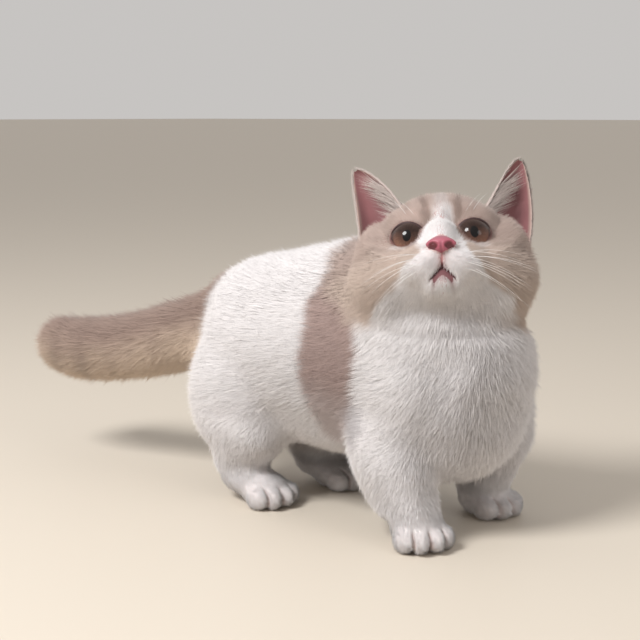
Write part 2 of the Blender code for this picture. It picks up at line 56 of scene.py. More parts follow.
@dataclass(frozen=True)
class HeadPlan:
    """The head's place and turn, and the masses that it is moulded from, in millimetres."""

    centre: Vector = Vector((-5, -43, 125.5))
    yaw: float = math.radians(-57.5)
    pitch: float = math.radians(31)
    roll: float = math.radians(-4.5)
    masses: tuple = (
        ((0, 6, 7), (33.5, 34, 29)),
        ((0, -10, 11), (27, 19.5, 21)),
        ((0, -9, -11), (31, 25, 20)),
        ((0, -26, 1.5), (9.5, 12, 9.5)),
        ((0, -30.5, -4), (8, 10.5, 7.5)),
        ((0, -22, -9), (23, 15, 15)),
        ((0, -27.5, -21), (10, 9, 7.5)),
    )
    pairs: tuple = (
        ((20, -3, -10), (23.5, 26, 21)),
        ((8.3, -28, -13.2), (11.5, 11, 8.8)),
        ((15, -16, 12), (14, 12, 10)),
        ((21, -17, -6), (15, 12, 12)),
        ((23, -3, 2.5), (18, 24, 19)),
    )
    eye_centre: Vector = Vector((13.7, -18.4, 5.8))
    eye_radius: float = 9.4
    eye_bed: float = 1.5
    eye_splay: float = math.radians(14)
    eye_lift: float = math.radians(2)
    eye_slant: float = math.radians(9)
    eye_opening: tuple = (7.8, 5.6, 5.9)
    gaze_in: float = math.radians(8)
    gaze_down: float = math.radians(11)
    nose: Vector = Vector((0, -38.4, -6.2))
    hull_middle: tuple = (0, -3, 2)
    hull_radii: tuple = (46, 48, 37)

    def axes(self) -> Matrix:
        """The head's own axes in the kitten's: -Y out of the nose, +X to its left, +Z out of its crown."""
        turn = Matrix.Rotation(self.yaw, 4, "Z") @ Matrix.Rotation(-self.pitch, 4, "X")
        return Matrix.Translation(self.centre) @ turn @ Matrix.Rotation(self.roll, 4, "Y")

    def eye_axes(self, side: int) -> Matrix:
        """Axes of one eye in the kitten's, -Y out of the pupil."""
        x, y, z = self.eye_centre
        turn = Matrix.Rotation(side * self.eye_splay, 4, "Z") @ Matrix.Rotation(-self.eye_lift, 4, "X")
        slant = Matrix.Rotation(-side * self.eye_slant, 4, "Y")
        return self.axes() @ Matrix.Translation((x * side, y, z)) @ turn @ slant

    def reach(self, local: Array) -> Array:
        """How far out each point of the head's axes lies: about 1 on the tips of the cheeks' fur."""
        return np.linalg.norm((local - self.hull_middle) / self.hull_radii, axis=1)


@dataclass(frozen=True)
class PawPlan:
    """Where each paw stands and points, and the masses that it is moulded from, in millimetres."""

    places: tuple = (
        ((-32, -50), math.radians(-32)),
        ((30.5, -47), math.radians(-6)),
        ((-28, 49), math.radians(-12)),
        ((21, 41), math.radians(2)),
    )
    masses: tuple = (((0, 1, 8), (12.5, 14.5, 10)), ((0, 2, 5), (10.9, 12.3, 6)))
    toes: tuple = ((-10, -7, 4.7), (-3.9, -11, 4.9), (3.9, -11, 4.9), (10, -7, 4.7))
    toe_height: float = 5.6
    toe_half_length: float = 7.4
    toe_half_height: float = 6.3

    def frames(self) -> list[Matrix]:
        """Axes of each paw, -Y along its toes."""
        return [Matrix.Translation((x, y, 0)) @ Matrix.Rotation(turn, 4, "Z") for (x, y), turn in self.places]

    def nearest(self, points: Array) -> tuple[Array, Array]:
        """The number of the paw nearest to each point, and the point's place along the floor from it."""
        places = np.array([place for place, _ in self.places], float)
        chosen = np.argmin(np.linalg.norm(points[:, None, :2] - places[None], axis=2), axis=1)
        return chosen, points[:, :2] - places[chosen]


HEAD = HeadPlan()
PAWS = PawPlan()
HEAD_AXES = HEAD.axes()
HEAD_TURN = np.array(HEAD_AXES.to_3x3())
HEAD_BACK = HEAD_TURN @ np.array((0.0, 1.0, 0.0))


def smoothstep(low: float, high: float, values: Array) -> Array:
    """Rises smoothly from 0 at low to 1 at high, and falls if low is above high."""
    share = np.clip((values - low) / (high - low), 0, 1)
    return share * share * (3 - 2 * share)


def unit(vectors: Array) -> Array:
    """Each row at length 1."""
    return vectors / np.maximum(np.linalg.norm(vectors, axis=1, keepdims=True), 1e-9)


def mix(tone: Array | tuple, other: Array | tuple, share: Array) -> Array:
    """Moves each row of colour towards another by its share."""
    return np.asarray(tone) * (1 - share[:, None]) + np.asarray(other) * share[:, None]


def sided(what: str, side: int) -> str:
    """A piece's name with its side."""
    return f"{what}_{'left' if side > 0 else 'right'}"


def rows_in(axes: Matrix, points: Array) -> Array:
    """Points of the kitten's axes, given in other axes."""
    turn = np.array(axes.to_3x3())
    return (points - np.array(axes.translation)) @ turn


def rows_out(axes: Matrix, points: Array) -> Array:
    """Points of other axes, given in the kitten's."""
    return points @ np.array(axes.to_3x3()).T + np.array(axes.translation)


class Noise:
    """Smooth noise in space from a seeded lattice, the same each run."""

    SIZE = 32

    def __init__(self, seed: int, parts: int = 1) -> None:
        """Draws the lattice.

        Args:
            seed: The seed of the draw.
            parts: How many independent values each point gets.
        """
        draw = np.random.default_rng(seed)
        self.lattice = draw.uniform(-1, 1, (self.SIZE, self.SIZE, self.SIZE, parts))

    def at(self, points: Array, size: float) -> Array:
        """The noise at each point.

        Args:
            points: Rows of places in millimetres.
            size: The distance over which the noise changes.

        Returns:
            A row of values from -1 to 1 for each point.
        """
        scaled = points / size
        cell = np.floor(scaled).astype(int)
        share = smoothstep(0, 1, scaled - cell)
        total = np.zeros((len(points), self.lattice.shape[3]))
        for corner in np.ndindex(2, 2, 2):
            weight = np.prod(np.where(np.array(corner), share, 1 - share), axis=1)
            index = (cell + np.array(corner)) % self.SIZE
            total += weight[:, None] * self.lattice[index[:, 0], index[:, 1], index[:, 2]]
        return total


NOISE = Noise(11, 3)


class Zone(Enum):
    """The regions of the coat, each with its own length, lie and thickness."""

    FACE = 0
    FOREHEAD = 1
    CHEEK = 2
    THROAT = 3
    CHEST = 4
    FLANK = 5
    LEG = 6
    PAW = 7
    TAIL = 8


@dataclass(frozen=True)
class CoatKind:
    """How the coat grows in one zone: lengths in millimetres, lifts in degrees, tufts in each square millimetre."""

    length: float
    width: float
    root_lift: float
    tip_lift: float
    depth: float
    density: float


COAT = {
    Zone.FACE: CoatKind(2.5, 0.25, 24, 8, 0.9, 9.0),
    Zone.FOREHEAD: CoatKind(4.4, 0.28, 30, 14, 1.8, 6.6),
    Zone.CHEEK: CoatKind(6.2, 0.30, 38, 20, 2.6, 6.2),
    Zone.THROAT: CoatKind(7.8, 0.33, 42, 26, 3.6, 5.4),
    Zone.CHEST: CoatKind(8.0, 0.33, 50, 34, 4.8, 5.2),
    Zone.FLANK: CoatKind(7.6, 0.32, 50, 34, 4.6, 5.0),
    Zone.LEG: CoatKind(5.4, 0.30, 40, 22, 2.6, 5.6),
    Zone.PAW: CoatKind(3.0, 0.26, 32, 14, 1.0, 6.0),
    Zone.TAIL: CoatKind(10.0, 0.34, 44, 30, 5.0, 5.0),
}


class Regions:
    """Shares out every point of the kitten among the zones of its coat."""

    TAIL = np.array((
        (0, 84, 90), (-8, 104, 83), (-14, 130, 74.5), (-20, 160, 67), (-26, 188, 64), (-29, 206, 65.5),
    ))

    def shares(self, points: Array) -> Array:
        """How much each point belongs to each zone.

        Args:
            points: Rows of places in the kitten's axes.

        Returns:
            A row of shares that add up to 1, one for each zone, for each point.
        """
        local = rows_in(HEAD_AXES, points)
        out = HEAD.reach(local)
        head = smoothstep(1.12, 0.92, out)
        face = smoothstep(33, 19, np.linalg.norm((local - (0, -32, -2)) / (1.15, 1.0, 1.0), axis=1))
        cheek = smoothstep(17, 28, np.abs(local[:, 0]) - 0.35 * local[:, 2]) * smoothstep(14, -4, local[:, 2])
        under = smoothstep(-13, -25, local[:, 2])
        paw = smoothstep(25, 9, points[:, 2])
        leg = smoothstep(50, 32, points[:, 2]) * smoothstep(14, 24, np.abs(points[:, 0]))
        tail = smoothstep(92, 112, points[:, 1])
        chest = smoothstep(-28, -46, points[:, 1]) * smoothstep(118, 96, points[:, 2])
        throat = smoothstep(1.55, 1.15, out)
        shares = np.zeros((len(points), len(Zone)))
        left = np.ones(len(points))
        order = (
            (Zone.PAW, paw),
            (Zone.LEG, leg),
            (Zone.TAIL, tail),
            (Zone.FACE, head * face),
            (Zone.THROAT, head * under),
            (Zone.CHEEK, head * cheek),
            (Zone.FOREHEAD, head),
            (Zone.THROAT, throat),
            (Zone.CHEST, chest),
        )
        for zone, share in order:
            shares[:, zone.value] += left * share
            left = left * (1 - share)
        shares[:, Zone.FLANK.value] += left
        return shares

    def blend(self, shares: Array, name: str) -> Array:
        """One of the coat's sizes at each point, blended between zones."""
        return shares @ np.array([getattr(COAT[zone], name) for zone in Zone])


class Lie:
    """Which way the coat lies on every part of the kitten."""

    WHORL = (0, -40, -3)
    UP_BRIDGE = (0.0, 0.35, 1.0)

    def heading(self, points: Array, normals: Array, shares: Array) -> Array:
        """The way the hair points along the skin.

        Args:
            points: Rows of places in the kitten's axes.
            normals: The skin's normals there.
            shares: The zones' shares there.

        Returns:
            Unit rows that lie along the skin.
        """
        local = rows_in(HEAD_AXES, points)
        bridge = smoothstep(11, 7.5, np.abs(local[:, 0])) * smoothstep(-5, -1, local[:, 2])
        bridge *= smoothstep(-10, -16, local[:, 1])
        from_nose = unit(mix(unit(local - self.WHORL), self.UP_BRIDGE, bridge)) @ HEAD_TURN.T
        side = np.sign(points[:, 0])
        side_on = np.abs(normals[:, 0])
        zeros = np.zeros(len(points))
        drop = 0.05 + 0.18 * side_on + 0.6 * smoothstep(68, 36, points[:, 2])
        flank = np.stack([zeros, zeros + 1, -drop], axis=1)
        chest = np.stack([0.35 * side * side_on, 0.2 + 0.4 * side_on, zeros - 1], axis=1)
        leg = np.stack([zeros, zeros + 0.25, zeros - 1], axis=1)
        throat = unit(0.75 * from_nose + 0.5 * unit(chest))
        by_zone = {
            Zone.FACE: from_nose,
            Zone.FOREHEAD: from_nose,
            Zone.CHEEK: from_nose,
            Zone.THROAT: throat,
            Zone.CHEST: unit(chest),
            Zone.FLANK: unit(flank),
            Zone.LEG: unit(leg),
            Zone.PAW: self.toeward(points),
            Zone.TAIL: self.tailward(points),
        }
        heading = sum(shares[:, zone.value, None] * rows for zone, rows in by_zone.items())
        heading = unit(heading) + 0.14 * NOISE.at(points, 19) + 0.07 * NOISE.at(points, 6)
        heading -= normals * np.sum(heading * normals, axis=1, keepdims=True)
        return unit(heading)

    def toeward(self, points: Array) -> Array:
        """Forward and down over the nearest paw."""
        turn = np.array([turn for _, turn in PAWS.places])[PAWS.nearest(points)[0]]
        return unit(np.stack([np.sin(turn), -np.cos(turn), np.full(len(points), -0.45)], axis=1))

    def tailward(self, points: Array) -> Array:
        """Along the tail to its tip, drooping a little on its underside."""
        along = unit(np.diff(Regions.TAIL, axis=0))
        index = np.clip(np.searchsorted(Regions.TAIL[:, 1], points[:, 1]) - 1, 0, len(along) - 1)
        under = smoothstep(6, -12, points[:, 2] - Markings.tail_height(points))
        return along[index] - np.stack([0 * under, 0 * under, 0.12 + 0.4 * under], axis=1)


REGIONS = Regions()


@dataclass(frozen=True)
class Palette:
    """The coat's colours, as linear red, green and blue."""

    white: tuple = (0.83, 0.79, 0.785)
    fawn: tuple = (0.47, 0.36, 0.315)
    lilac: tuple = (0.385, 0.27, 0.24)
    cream: tuple = (0.58, 0.465, 0.395)
    shadow: tuple = (0.22, 0.155, 0.13)
    tail_top: tuple = (0.33, 0.235, 0.195)
    tail_under: tuple = (0.76, 0.60, 0.47)
    grey: tuple = (0.30, 0.27, 0.28)


@dataclass(frozen=True)
class Markings:
    """The pattern of the coat, with a painted shade under the belly, the same on the skin and on the tufts over it.
    """

    colours: Palette = Palette()

    WHITE_HEIGHTS = (-27.0, -20.0, -13.0, -7.0, 0.0, 8.0, 13.0, 24.0, 31.0)
    WHITE_WIDTHS = (34.0, 24.0, 16.0, 10.5, 10.5, 6.0, 3.6, 3.8, 0.0)

    def tone(self, points: Array) -> Array:
        """The coat's colour at each point.

        Args:
            points: Rows of places in the kitten's axes.

        Returns:
            Rows of linear red, green and blue.
        """
        c = self.colours
        frayed = points + 2.2 * NOISE.at(points, 9) + 1.0 * NOISE.at(points, 3)
        tone = np.tile(c.white, (len(points), 1))
        patch = self.shoulder_patch(frayed)
        tone = mix(tone, c.lilac, patch * (0.94 - 0.32 * smoothstep(78, 52, frayed[:, 2])))
        tone = mix(tone, c.grey, 0.5 * self.grey_spot(frayed))
        # Painted shade: a faint cream under the belly and inside the left thigh, for the warm floor-lit shadow
        # there.
        tone = mix(tone, c.cream, 0.3 * self.thigh_painted_shade(frayed))
        tail = smoothstep(86, 96, frayed[:, 1]) * smoothstep(31, 25, self.off_tail(frayed))
        under = smoothstep(9, -13, frayed[:, 2] - self.tail_height(frayed))
        tail_tone = mix(c.tail_top, c.tail_under, under)
        rings = smoothstep(0.2, 0.9, np.sin(frayed[:, 1] * 2 * math.pi / 19)) * smoothstep(150, 165, frayed[:, 1])
        tail_tone = mix(tail_tone, c.shadow, 0.28 * rings)
        return self.head_tone(mix(tone, tail_tone, tail), frayed, c)

    @staticmethod
    def off_tail(points: Array) -> Array:
        """How far each point lies from the tail's middle line, across it."""
        x = np.interp(points[:, 1], *Regions.TAIL[:, [1, 0]].T)
        return np.hypot(points[:, 0] - x, points[:, 2] - Markings.tail_height(points))

    @staticmethod
    def tail_height(points: Array) -> Array:
        """The height of the tail's middle line under or over each point."""
        return np.interp(points[:, 1], *Regions.TAIL[:, [1, 2]].T)

    @staticmethod
    def shoulder_patch(points: Array) -> Array:
        """The patch behind the right shoulder."""
        x, y, z = points.T
        out = np.hypot((y + 5) / 16, (z - 84) / 43)
        return smoothstep(1.12, 0.86, out) * smoothstep(-12, -18, x)

    @staticmethod
    def grey_spot(points: Array) -> Array:
        """The small grey smudge at the patch's lower front edge."""
        x, y, z = points.T
        out = np.hypot((y + 20) / 7, (z - 54) / 13)
        return smoothstep(1.3, 0.5, out) * smoothstep(-12, -18, x)

    @staticmethod
    def thigh_painted_shade(points: Array) -> Array:
        """Painted shade under the belly and on the inner side of the left thigh: a faint cream for the shadow
        there, lit warm from the floor.
        """
        x, y, z = points.T
        return smoothstep(-2, 10, x) * smoothstep(5, 20, y) * smoothstep(60, 40, z) * smoothstep(16, 24, z)

    def head_tone(self, tone: Array, points: Array, c: Palette) -> Array:
        """The mask over the face, cheeks and crown with its white blaze, muzzle and chin."""
        local = rows_in(HEAD_AXES, points)
        x, y, z = local.T
        wide = np.abs(x)
        out = HEAD.reach(local)
        mask = smoothstep(1.25, 1.08, out)
        white_half = np.interp(z, self.WHITE_HEIGHTS, self.WHITE_WIDTHS)
        soft = 1.0 + 2.0 * smoothstep(-8, -20, z) + 1.4 * smoothstep(4, 14, z)
        front = smoothstep(4, -12, y) * (1 - 0.62 * smoothstep(13, 21, z))
        mask *= 1 - front * smoothstep(white_half + soft, white_half - soft, wide)
        mask *= smoothstep(-34, -27, z)
        below_eye = (np.stack([wide, y, z], axis=1) - (15, -25, -1.2)) / (8.5, 9, 2.0)
        under_eye = smoothstep(1.1, 0.6, np.linalg.norm(below_eye, axis=1))
        warm = smoothstep(-14, 10, z)
        base = np.array(c.cream) * (1 - warm[:, None]) * 0.92 + np.array(c.fawn) * (0.08 + 0.92 * warm[:, None])
        tone = mix(tone, base, mask)
        stripes = smoothstep(0.2, 0.95, np.sin(wide * 0.9 + 0.4)) * smoothstep(13, 19, z) * smoothstep(26, 18, wide)
        brow = smoothstep(3.0, 1.0, np.hypot(wide - 7.5 - 0.1 * (z - 15), 0.28 * (z - 17)))
        cheek_line = smoothstep(2.6, 1.0, np.abs(z + 2 - 0.10 * (wide - 24))) * smoothstep(22, 26, wide)
        dark = np.clip(0.24 * stripes + 0.5 * brow + 0.3 * cheek_line, 0, 0.6) * mask
        tone = mix(tone, c.shadow, dark)
        return mix(tone, c.white, 0.4 * under_eye * smoothstep(1.2, 1.0, out))


MARKINGS = Markings()


class BodyPlace:
    """Where the kitten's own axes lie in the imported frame."""

    def __init__(self) -> None:
        """Finds the shift from the middle of the left eye's solid, which is a whole ball."""
        spots = np.array([vertex.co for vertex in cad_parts["eye_left"].data.vertices])
        middle = np.unique(spots.round(6), axis=0).mean(axis=0) / MM
        self.shift = middle - np.array(HEAD.eye_axes(SIDES["left"]).translation)

    def outward(self, points: Array) -> Array:
        """Millimetres of the kitten's axes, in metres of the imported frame."""
        return (points + self.shift) * MM


PLACE = BodyPlace()


def eye_ring(side: int, points: Array) -> tuple[Array, Array, Array]:
    """How far out of an eye's opening each point lies, seen from the eye's middle: 1 is the lid's edge.

    Args:
        side: 1 for the left eye and -1 for the right.
        points: Rows of places in the kitten's axes.

    Returns:
        The ring of each point, its places in the eye's axes, and its distance from the eye's middle.
    """
    local = rows_in(HEAD.eye_axes(side), points)
    reach = np.linalg.norm(local, axis=1)
    half, upper, lower = HEAD.eye_opening
    x, y, z = (local / np.maximum(reach, 1e-6)[:, None] * HEAD.eye_radius).T
    ring = np.hypot(x / half, z / np.where(z > 0, upper, lower))
    return np.where(y < 0, ring, 9.0), local, reach


def eye_edge(points: Array, out: float) -> Array:
    """1 beside either eyeball and 0 from a ring round it outwards."""
    share = np.zeros(len(points))
    for side in SIDES.values():
        ring, _, reach = eye_ring(side, points)
        share = np.maximum(share, smoothstep(out, 1.0, ring) * smoothstep(16, 12, reach))
    return share


def mesh_points(mesh: bpy.types.Mesh, what: str = "co") -> Array:
    """Every vertex's place or normal, as rows."""
    source = mesh.vertices if what == "co" else mesh.vertex_normals
    rows = np.empty(len(source) * 3, np.float32)
    source.foreach_get("co" if what == "co" else "vector", rows)
    return rows.reshape(-1, 3).astype(float)


def put_points(mesh: bpy.types.Mesh, points: Array) -> None:
    """Sets every vertex's place."""
    mesh.vertices.foreach_set("co", points.astype(np.float32).ravel())
    mesh.update()


def triangles_of(mesh: bpy.types.Mesh) -> Array:
    """The corners of every triangle of a mesh."""
    mesh.calc_loop_triangles()
    corners = np.empty(len(mesh.loop_triangles) * 3, np.int32)
    mesh.loop_triangles.foreach_get("vertices", corners)
    return corners.reshape(-1, 3)


def new_object(name: str, data: bpy.types.ID) -> bpy.types.Object:
    """Links a new object with a mesh, light or camera to the scene."""
    obj = bpy.data.objects.new(name, data)
    bpy.context.scene.collection.objects.link(obj)
    return obj


def placed(name: str, mesh: bpy.types.Mesh, points: Array) -> bpy.types.Object:
    """Links a smooth mesh with its points, given in the kitten's axes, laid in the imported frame."""
    mesh.shade_smooth()
    put_points(mesh, PLACE.outward(points))
    return new_object(name, mesh)


def from_bmesh(bm: bmesh.types.BMesh, name: str) -> bpy.types.Mesh:
    """Turns a bmesh into a mesh and frees it."""
    mesh = bpy.data.meshes.new(name)
    bm.to_mesh(mesh)
    bm.free()
    return mesh


def apply_modifiers(obj: bpy.types.Object) -> None:
    """Bakes an object's modifiers into its mesh."""
    graph = bpy.context.evaluated_depsgraph_get()
    mesh = bpy.data.meshes.new_from_object(obj.evaluated_get(graph))
    obj.modifiers.clear()
    old, obj.data = obj.data, mesh
    bpy.data.meshes.remove(old)


def weigh(obj: bpy.types.Object, weights: Array) -> str:
    """A vertex group with a weight for every vertex, in steps of a hundredth."""
    group = obj.vertex_groups.new(name="weights")
    steps = np.round(weights, 2)
    for weight in np.unique(steps):
        group.add(np.flatnonzero(steps == weight).tolist(), float(weight), "REPLACE")
    return group.name


def colour_layer(mesh: bpy.types.Mesh, tones: Array) -> None:
    """Stores a colour for every vertex."""
    layer = mesh.color_attributes.new("tone", "FLOAT_COLOR", "POINT")
    rows = np.ones((len(tones), 4), np.float32)
    rows[:, :3] = tones
    layer.data.foreach_set("color", rows.ravel())


class Unwrap:
    """Lays the kitten's surface out flat, each limb and length in a tile of its own."""

    TILES = {
        "head": (0.0, 0.5, 0.5, 0.5),
        "trunk": (0.5, 0.4, 0.5, 0.6),
        "tail": (0.0, 0.3, 0.5, 0.2),
        "legs": (0.5, 0.0, 0.5, 0.4),
        "ears": (0.0, 0.0, 0.5, 0.3),
    }

    def tile(self, name: str, across: Array, along: Array) -> Array:
        """Places shares of 0 to 1 in a tile, clear of its edges."""
        u, v, width, height = self.TILES[name]
        return np.stack([u + width * (0.03 + 0.94 * across), v + height * (0.03 + 0.94 * along)], axis=1)

    @staticmethod
    def around(a: Array, b: Array) -> Array:
        """The share of a turn at which a point lies round an axis."""
        return np.arctan2(a, b) / (2 * math.pi) + 0.5

    def place(self, points: Array) -> Array:
        """The spot of each point on the flat map.

        Args:
            points: Rows of places in the kitten's axes.

        Returns:
            Rows of u and v.
        """
        shares = REGIONS.shares(points)
        local = rows_in(HEAD_AXES, points)
        x, y, z = points.T
        height = np.clip((local[:, 2] + 44) / 90, 0, 1)
        flat = self.tile("head", self.around(local[:, 0], local[:, 1] + 3), height)
        trunk = self.tile("trunk", self.around(x, z - 80), np.clip((y + 90) / 200, 0, 1))
        middle = np.interp(y, [84, 206], [0, -29])
        round_tail = self.around(x - middle, z - Markings.tail_height(points))
        tail = self.tile("tail", round_tail, np.clip((y - 88) / 140, 0, 1))
        nearest, foot = PAWS.nearest(points)
        legs = self.tile("legs", (nearest + self.around(*foot.T)) / 4, np.clip(z / 62, 0, 1))
        owner = shares.argmax(axis=1)
        on_head = np.isin(owner, [Zone.FACE.value, Zone.FOREHEAD.value, Zone.CHEEK.value])
        on_leg = np.isin(owner, [Zone.LEG.value, Zone.PAW.value])
        uv = np.where(on_head[:, None], flat, trunk)
        uv = np.where(on_leg[:, None], legs, uv)
        return np.where((owner == Zone.TAIL.value)[:, None], tail, uv)


UNWRAP = Unwrap()


def bake_map(mesh: bpy.types.Mesh, uv: Array) -> None:
    """Gives a mesh its flat map, one spot for each corner of each face."""
    layer = mesh.uv_layers.new(name="OFBake")
    layer.uv.foreach_set("vector", uv.astype(np.float32).ravel())


def corner_vertices(mesh: bpy.types.Mesh) -> Array:
    """The vertex at each corner of each face."""
    index = np.empty(len(mesh.loops), np.int32)
    mesh.loops.foreach_get("vertex_index", index)
    return index


@dataclass
class Roots:
    """Where tufts grow: places, normals, headings, lengths, widths, lifts and colours, a row for each tuft."""

    points: Array
    normals: Array
    headings: Array
    lengths: Array
    widths: Array
    root_lift: Array
    tip_lift: Array
    tones: Array
    uv: Array

    def part(self, chosen: Array) -> "Roots":
        """Only the chosen tufts."""
        return Roots(*(getattr(self, name)[chosen] for name in self.__dataclass_fields__))


def joined_roots(parts: list[Roots]) -> Roots:
    """Several sets of roots as one."""
    return Roots(*(np.concatenate([getattr(part, name) for part in parts]) for name in Roots.__dataclass_fields__))


def bridge_stack(bm: bmesh.types.BMesh, loops: list, closed: bool = False) -> None:
    """Joins rings of vertices into a tube with its ends filled, or into a closed hoop.

    Args:
        bm: The mesh that holds the rings.
        loops: The vertices of each ring, in order round it.
        closed: Whether the last ring joins the first.
    """
    rings = [[bm.edges.new((loop[i], loop[(i + 1) % len(loop)])) for i in range(len(loop))] for loop in loops]
    after = rings[1:] + rings[:1] if closed else rings[1:]
    for low, high in zip(rings, after):
        bmesh.ops.bridge_loops(bm, edges=low + high)
    if not closed:
        bmesh.ops.holes_fill(bm, edges=rings[0] + rings[-1], sides=0)
        bmesh.ops.triangulate(bm, faces=[face for face in bm.faces if len(face.verts) > 4])
    bmesh.ops.recalc_face_normals(bm, faces=bm.faces)


def sweep(bm: bmesh.types.BMesh, spots: Array, radii: Array, sides: int = 10, closed: bool = False,
          flatten: float = 1.0, up: Array | None = None) -> None:
    """Adds a tube along a line, thicker or thinner from spot to spot.

    Args:
        bm: The mesh to add to.
        spots: Rows of places on the line.
        radii: The tube's radius at each.
        sides: Sides of the tube.
        closed: Whether the line is a hoop.
        flatten: The tube's height as a share of its width.
        up: Which way its height is measured, the same all along or a row for each spot.
    """
    if closed:
        along = unit(np.roll(spots, -1, axis=0) - np.roll(spots, 1, axis=0))
    else:
        along = unit(np.gradient(spots, axis=0))
    up = np.broadcast_to(np.array((0.0, 0.0, 1.0)) if up is None else up, spots.shape)
    wide = unit(np.cross(along, up))
    high = np.cross(wide, along)
    whole = bmesh.new()
    loops = []
    for spot, radius, side, top in zip(spots, radii, wide, high):
        loop = []
        for k in range(sides):
            angle = 2 * math.pi * k / sides
            place = spot + radius * (side * math.cos(angle) + top * flatten * math.sin(angle))
            loop.append(whole.verts.new(place))
        loops.append(loop)
    bridge_stack(whole, loops, closed)
    mesh = from_bmesh(whole, "sweep")
    bm.from_mesh(mesh)
    bpy.data.meshes.remove(mesh)


@dataclass
class Ear:
    """One ear: a thin cup, open to the front and outer side, in the head's axes and millimetres."""

    side: int
    root: Vector = Vector((23.4, 1.3, 5.8))
    tip: Vector = Vector((40.3, 5, 57.5))
    facing: Vector = Vector((0.42, -0.90, 0.0))
    cup: float = 16.5
    point: float = 1.0
    taper: float = 0.55
    bows: tuple = (3.0, -2.0)
    tip_easing: float = 1.6
    wrap_root: float = 118
    wrap_tip: float = 80
    setback: float = 0.25
    nap: float = 0.8
    wall: float = 1.5
    rows: int = 48
    arc: int = 36
    skin: tuple = (0.29, 0.125, 0.13)
    # painted shade: the darker rose deep in the ear's cup
    deep: tuple = (0.15, 0.055, 0.058)
    rim: tuple = (0.46, 0.33, 0.29)
    rim_hair_tone: tuple = (0.68, 0.59, 0.55)
    wisp_tone: tuple = (0.50, 0.42, 0.385)
    seed: int = 31

    def axes(self) -> tuple[Array, Array, Array, float]:
        """The ear's own directions to its tip, its opening and its outer edge, and its length."""
        axis = (self.tip - self.root).normalized()
        facing = (self.facing - axis * self.facing.dot(axis)).normalized()
        return np.array(axis), np.array(facing), np.array(axis.cross(facing)), (self.tip - self.root).length

    def surface(self, share: Array, turn: Array, depth: Array) -> Array:
        """Points in the wall of the ear.

        Args:
            share: How far up the ear each point is, from 0 to 1.
            turn: How far round the cup each point is, from -1 at the inner edge to 1 at the outer edge.
            depth: How far each point lies through the wall, from 0 outside to 1 inside.

        Returns:
            Rows of places in the kitten's axes.
        """
        axis, facing, across, length = self.axes()
        radius = self.cup * (1 - share) ** self.taper + self.point
        wrap = np.radians(self.wrap_root + (self.wrap_tip - self.wrap_root) * share)
        wall = self.wall * (1 - 0.45 * share) * (1 - 0.55 * np.abs(turn) ** 6)
        reach = radius - self.nap - np.minimum(wall, 0.6 * radius) * depth
        angle = wrap * turn
        ray = across * np.sin(angle)[:, None] - facing * np.cos(angle)[:, None]
        bow = self.bows[0] if self.side > 0 else self.bows[1]
        middle = np.array(self.root) + axis * (length * share)[:, None] - facing * (self.setback * radius)[:, None]
        middle += across * (4 * bow * share * (1 - share))[:, None]
        local = middle + ray * reach[:, None]
        local[:, 0] *= self.side
        return rows_out(HEAD_AXES, local)

    def build(self) -> bpy.types.Object:
        """The closed cup with its colours and flat map."""
        shares = 0.99 * (1 - (1 - np.linspace(0, 1, self.rows)) ** self.tip_easing)
        turns = np.linspace(-1, 1, self.arc)
        ring = np.concatenate([turns, turns[::-1]])
        depth = np.concatenate([np.zeros(self.arc), np.ones(self.arc)])
        bm = bmesh.new()
        loops = []
        for share in shares:
            spots = self.surface(np.full(len(ring), share), ring, depth)
            loops.append([bm.verts.new(spot) for spot in spots])
        bridge_stack(bm, loops)
        mesh = from_bmesh(bm, "ear")
        share = np.repeat(shares, len(ring))
        turn, depth = np.tile(ring, len(shares)), np.tile(depth, len(shares))
        colour_layer(mesh, self.tones(mesh_points(mesh), share, turn, depth))
        bake_map(mesh, self.flat(share, turn)[corner_vertices(mesh)])
        return placed(sided("ear_skin", self.side), mesh, mesh_points(mesh))

    def flat(self, share: Array, turn: Array) -> Array:
        """The spots of points of the ear on the flat map."""
        across = (turn + 1) / 4 + (0.5 if self.side > 0 else 0.0)
        return UNWRAP.tile("ears", across, share)

    def tones(self, points: Array, share: Array, turn: Array, depth: Array) -> Array:
        """Rose skin inside, darkened by painted shade deep in the cup, a pale rim, and the coat's fawn outside."""
        outside = self.back_tones(points, share) * 0.9
        veins = 0.5 + 0.5 * NOISE.at(points * (1, 1, 0.35), 4)[:, :1]
        # painted shade: the skin darkens towards the bottom of the cup
        into = smoothstep(0.5, 0.05, share)
        inside = mix(np.array(self.skin) * (0.82 + 0.3 * veins), self.deep, into)
        inside = mix(inside, self.rim, smoothstep(0.8, 0.98, np.abs(turn)))
        return np.where(depth[:, None] > 0.5, inside, outside)

    def back_tones(self, points: Array, share: Array) -> Array:
        """The coat's fawn on the ear's back, a little darker to the tip."""
        dapple = 1 + 0.12 * NOISE.at(points, 6)[:, :1]
        return np.array(MARKINGS.colours.fawn) * dapple * (1 - 0.25 * smoothstep(0.5, 1.0, share)[:, None])

    def roots(self) -> Roots:
        """The short hair on the ear's back and rim, and the long wisps that cross its opening."""
        draw = np.random.default_rng(self.seed + self.side)
        return joined_roots([self.back_hair(draw), self.rim_hair(draw), self.wisps(draw)])

    def back_hair(self, draw: np.random.Generator) -> Roots:
        """Short flat hair on the back, lying to the tip."""
        count = 6500
        share = 1 - np.sqrt(draw.uniform(0.0, 1, count)) * 0.96
        turn = draw.uniform(-1, 1, count)
        return self.hair(share, turn, np.zeros(count), (1.8, 3.4), 0.36, (14, 5), draw, 0.0)

    def rim_hair(self, draw: np.random.Generator) -> Roots:
        """A fringe along both edges of the ear."""
        count = 1500
        share = draw.uniform(0.02, 0.99, count)
        turn = np.sign(draw.uniform(-1, 1, count)) * draw.uniform(0.93, 1.0, count)
        return self.hair(share, turn, np.zeros(count), (2.0, 3.6), 0.30, (22, 16), draw, 0.35)

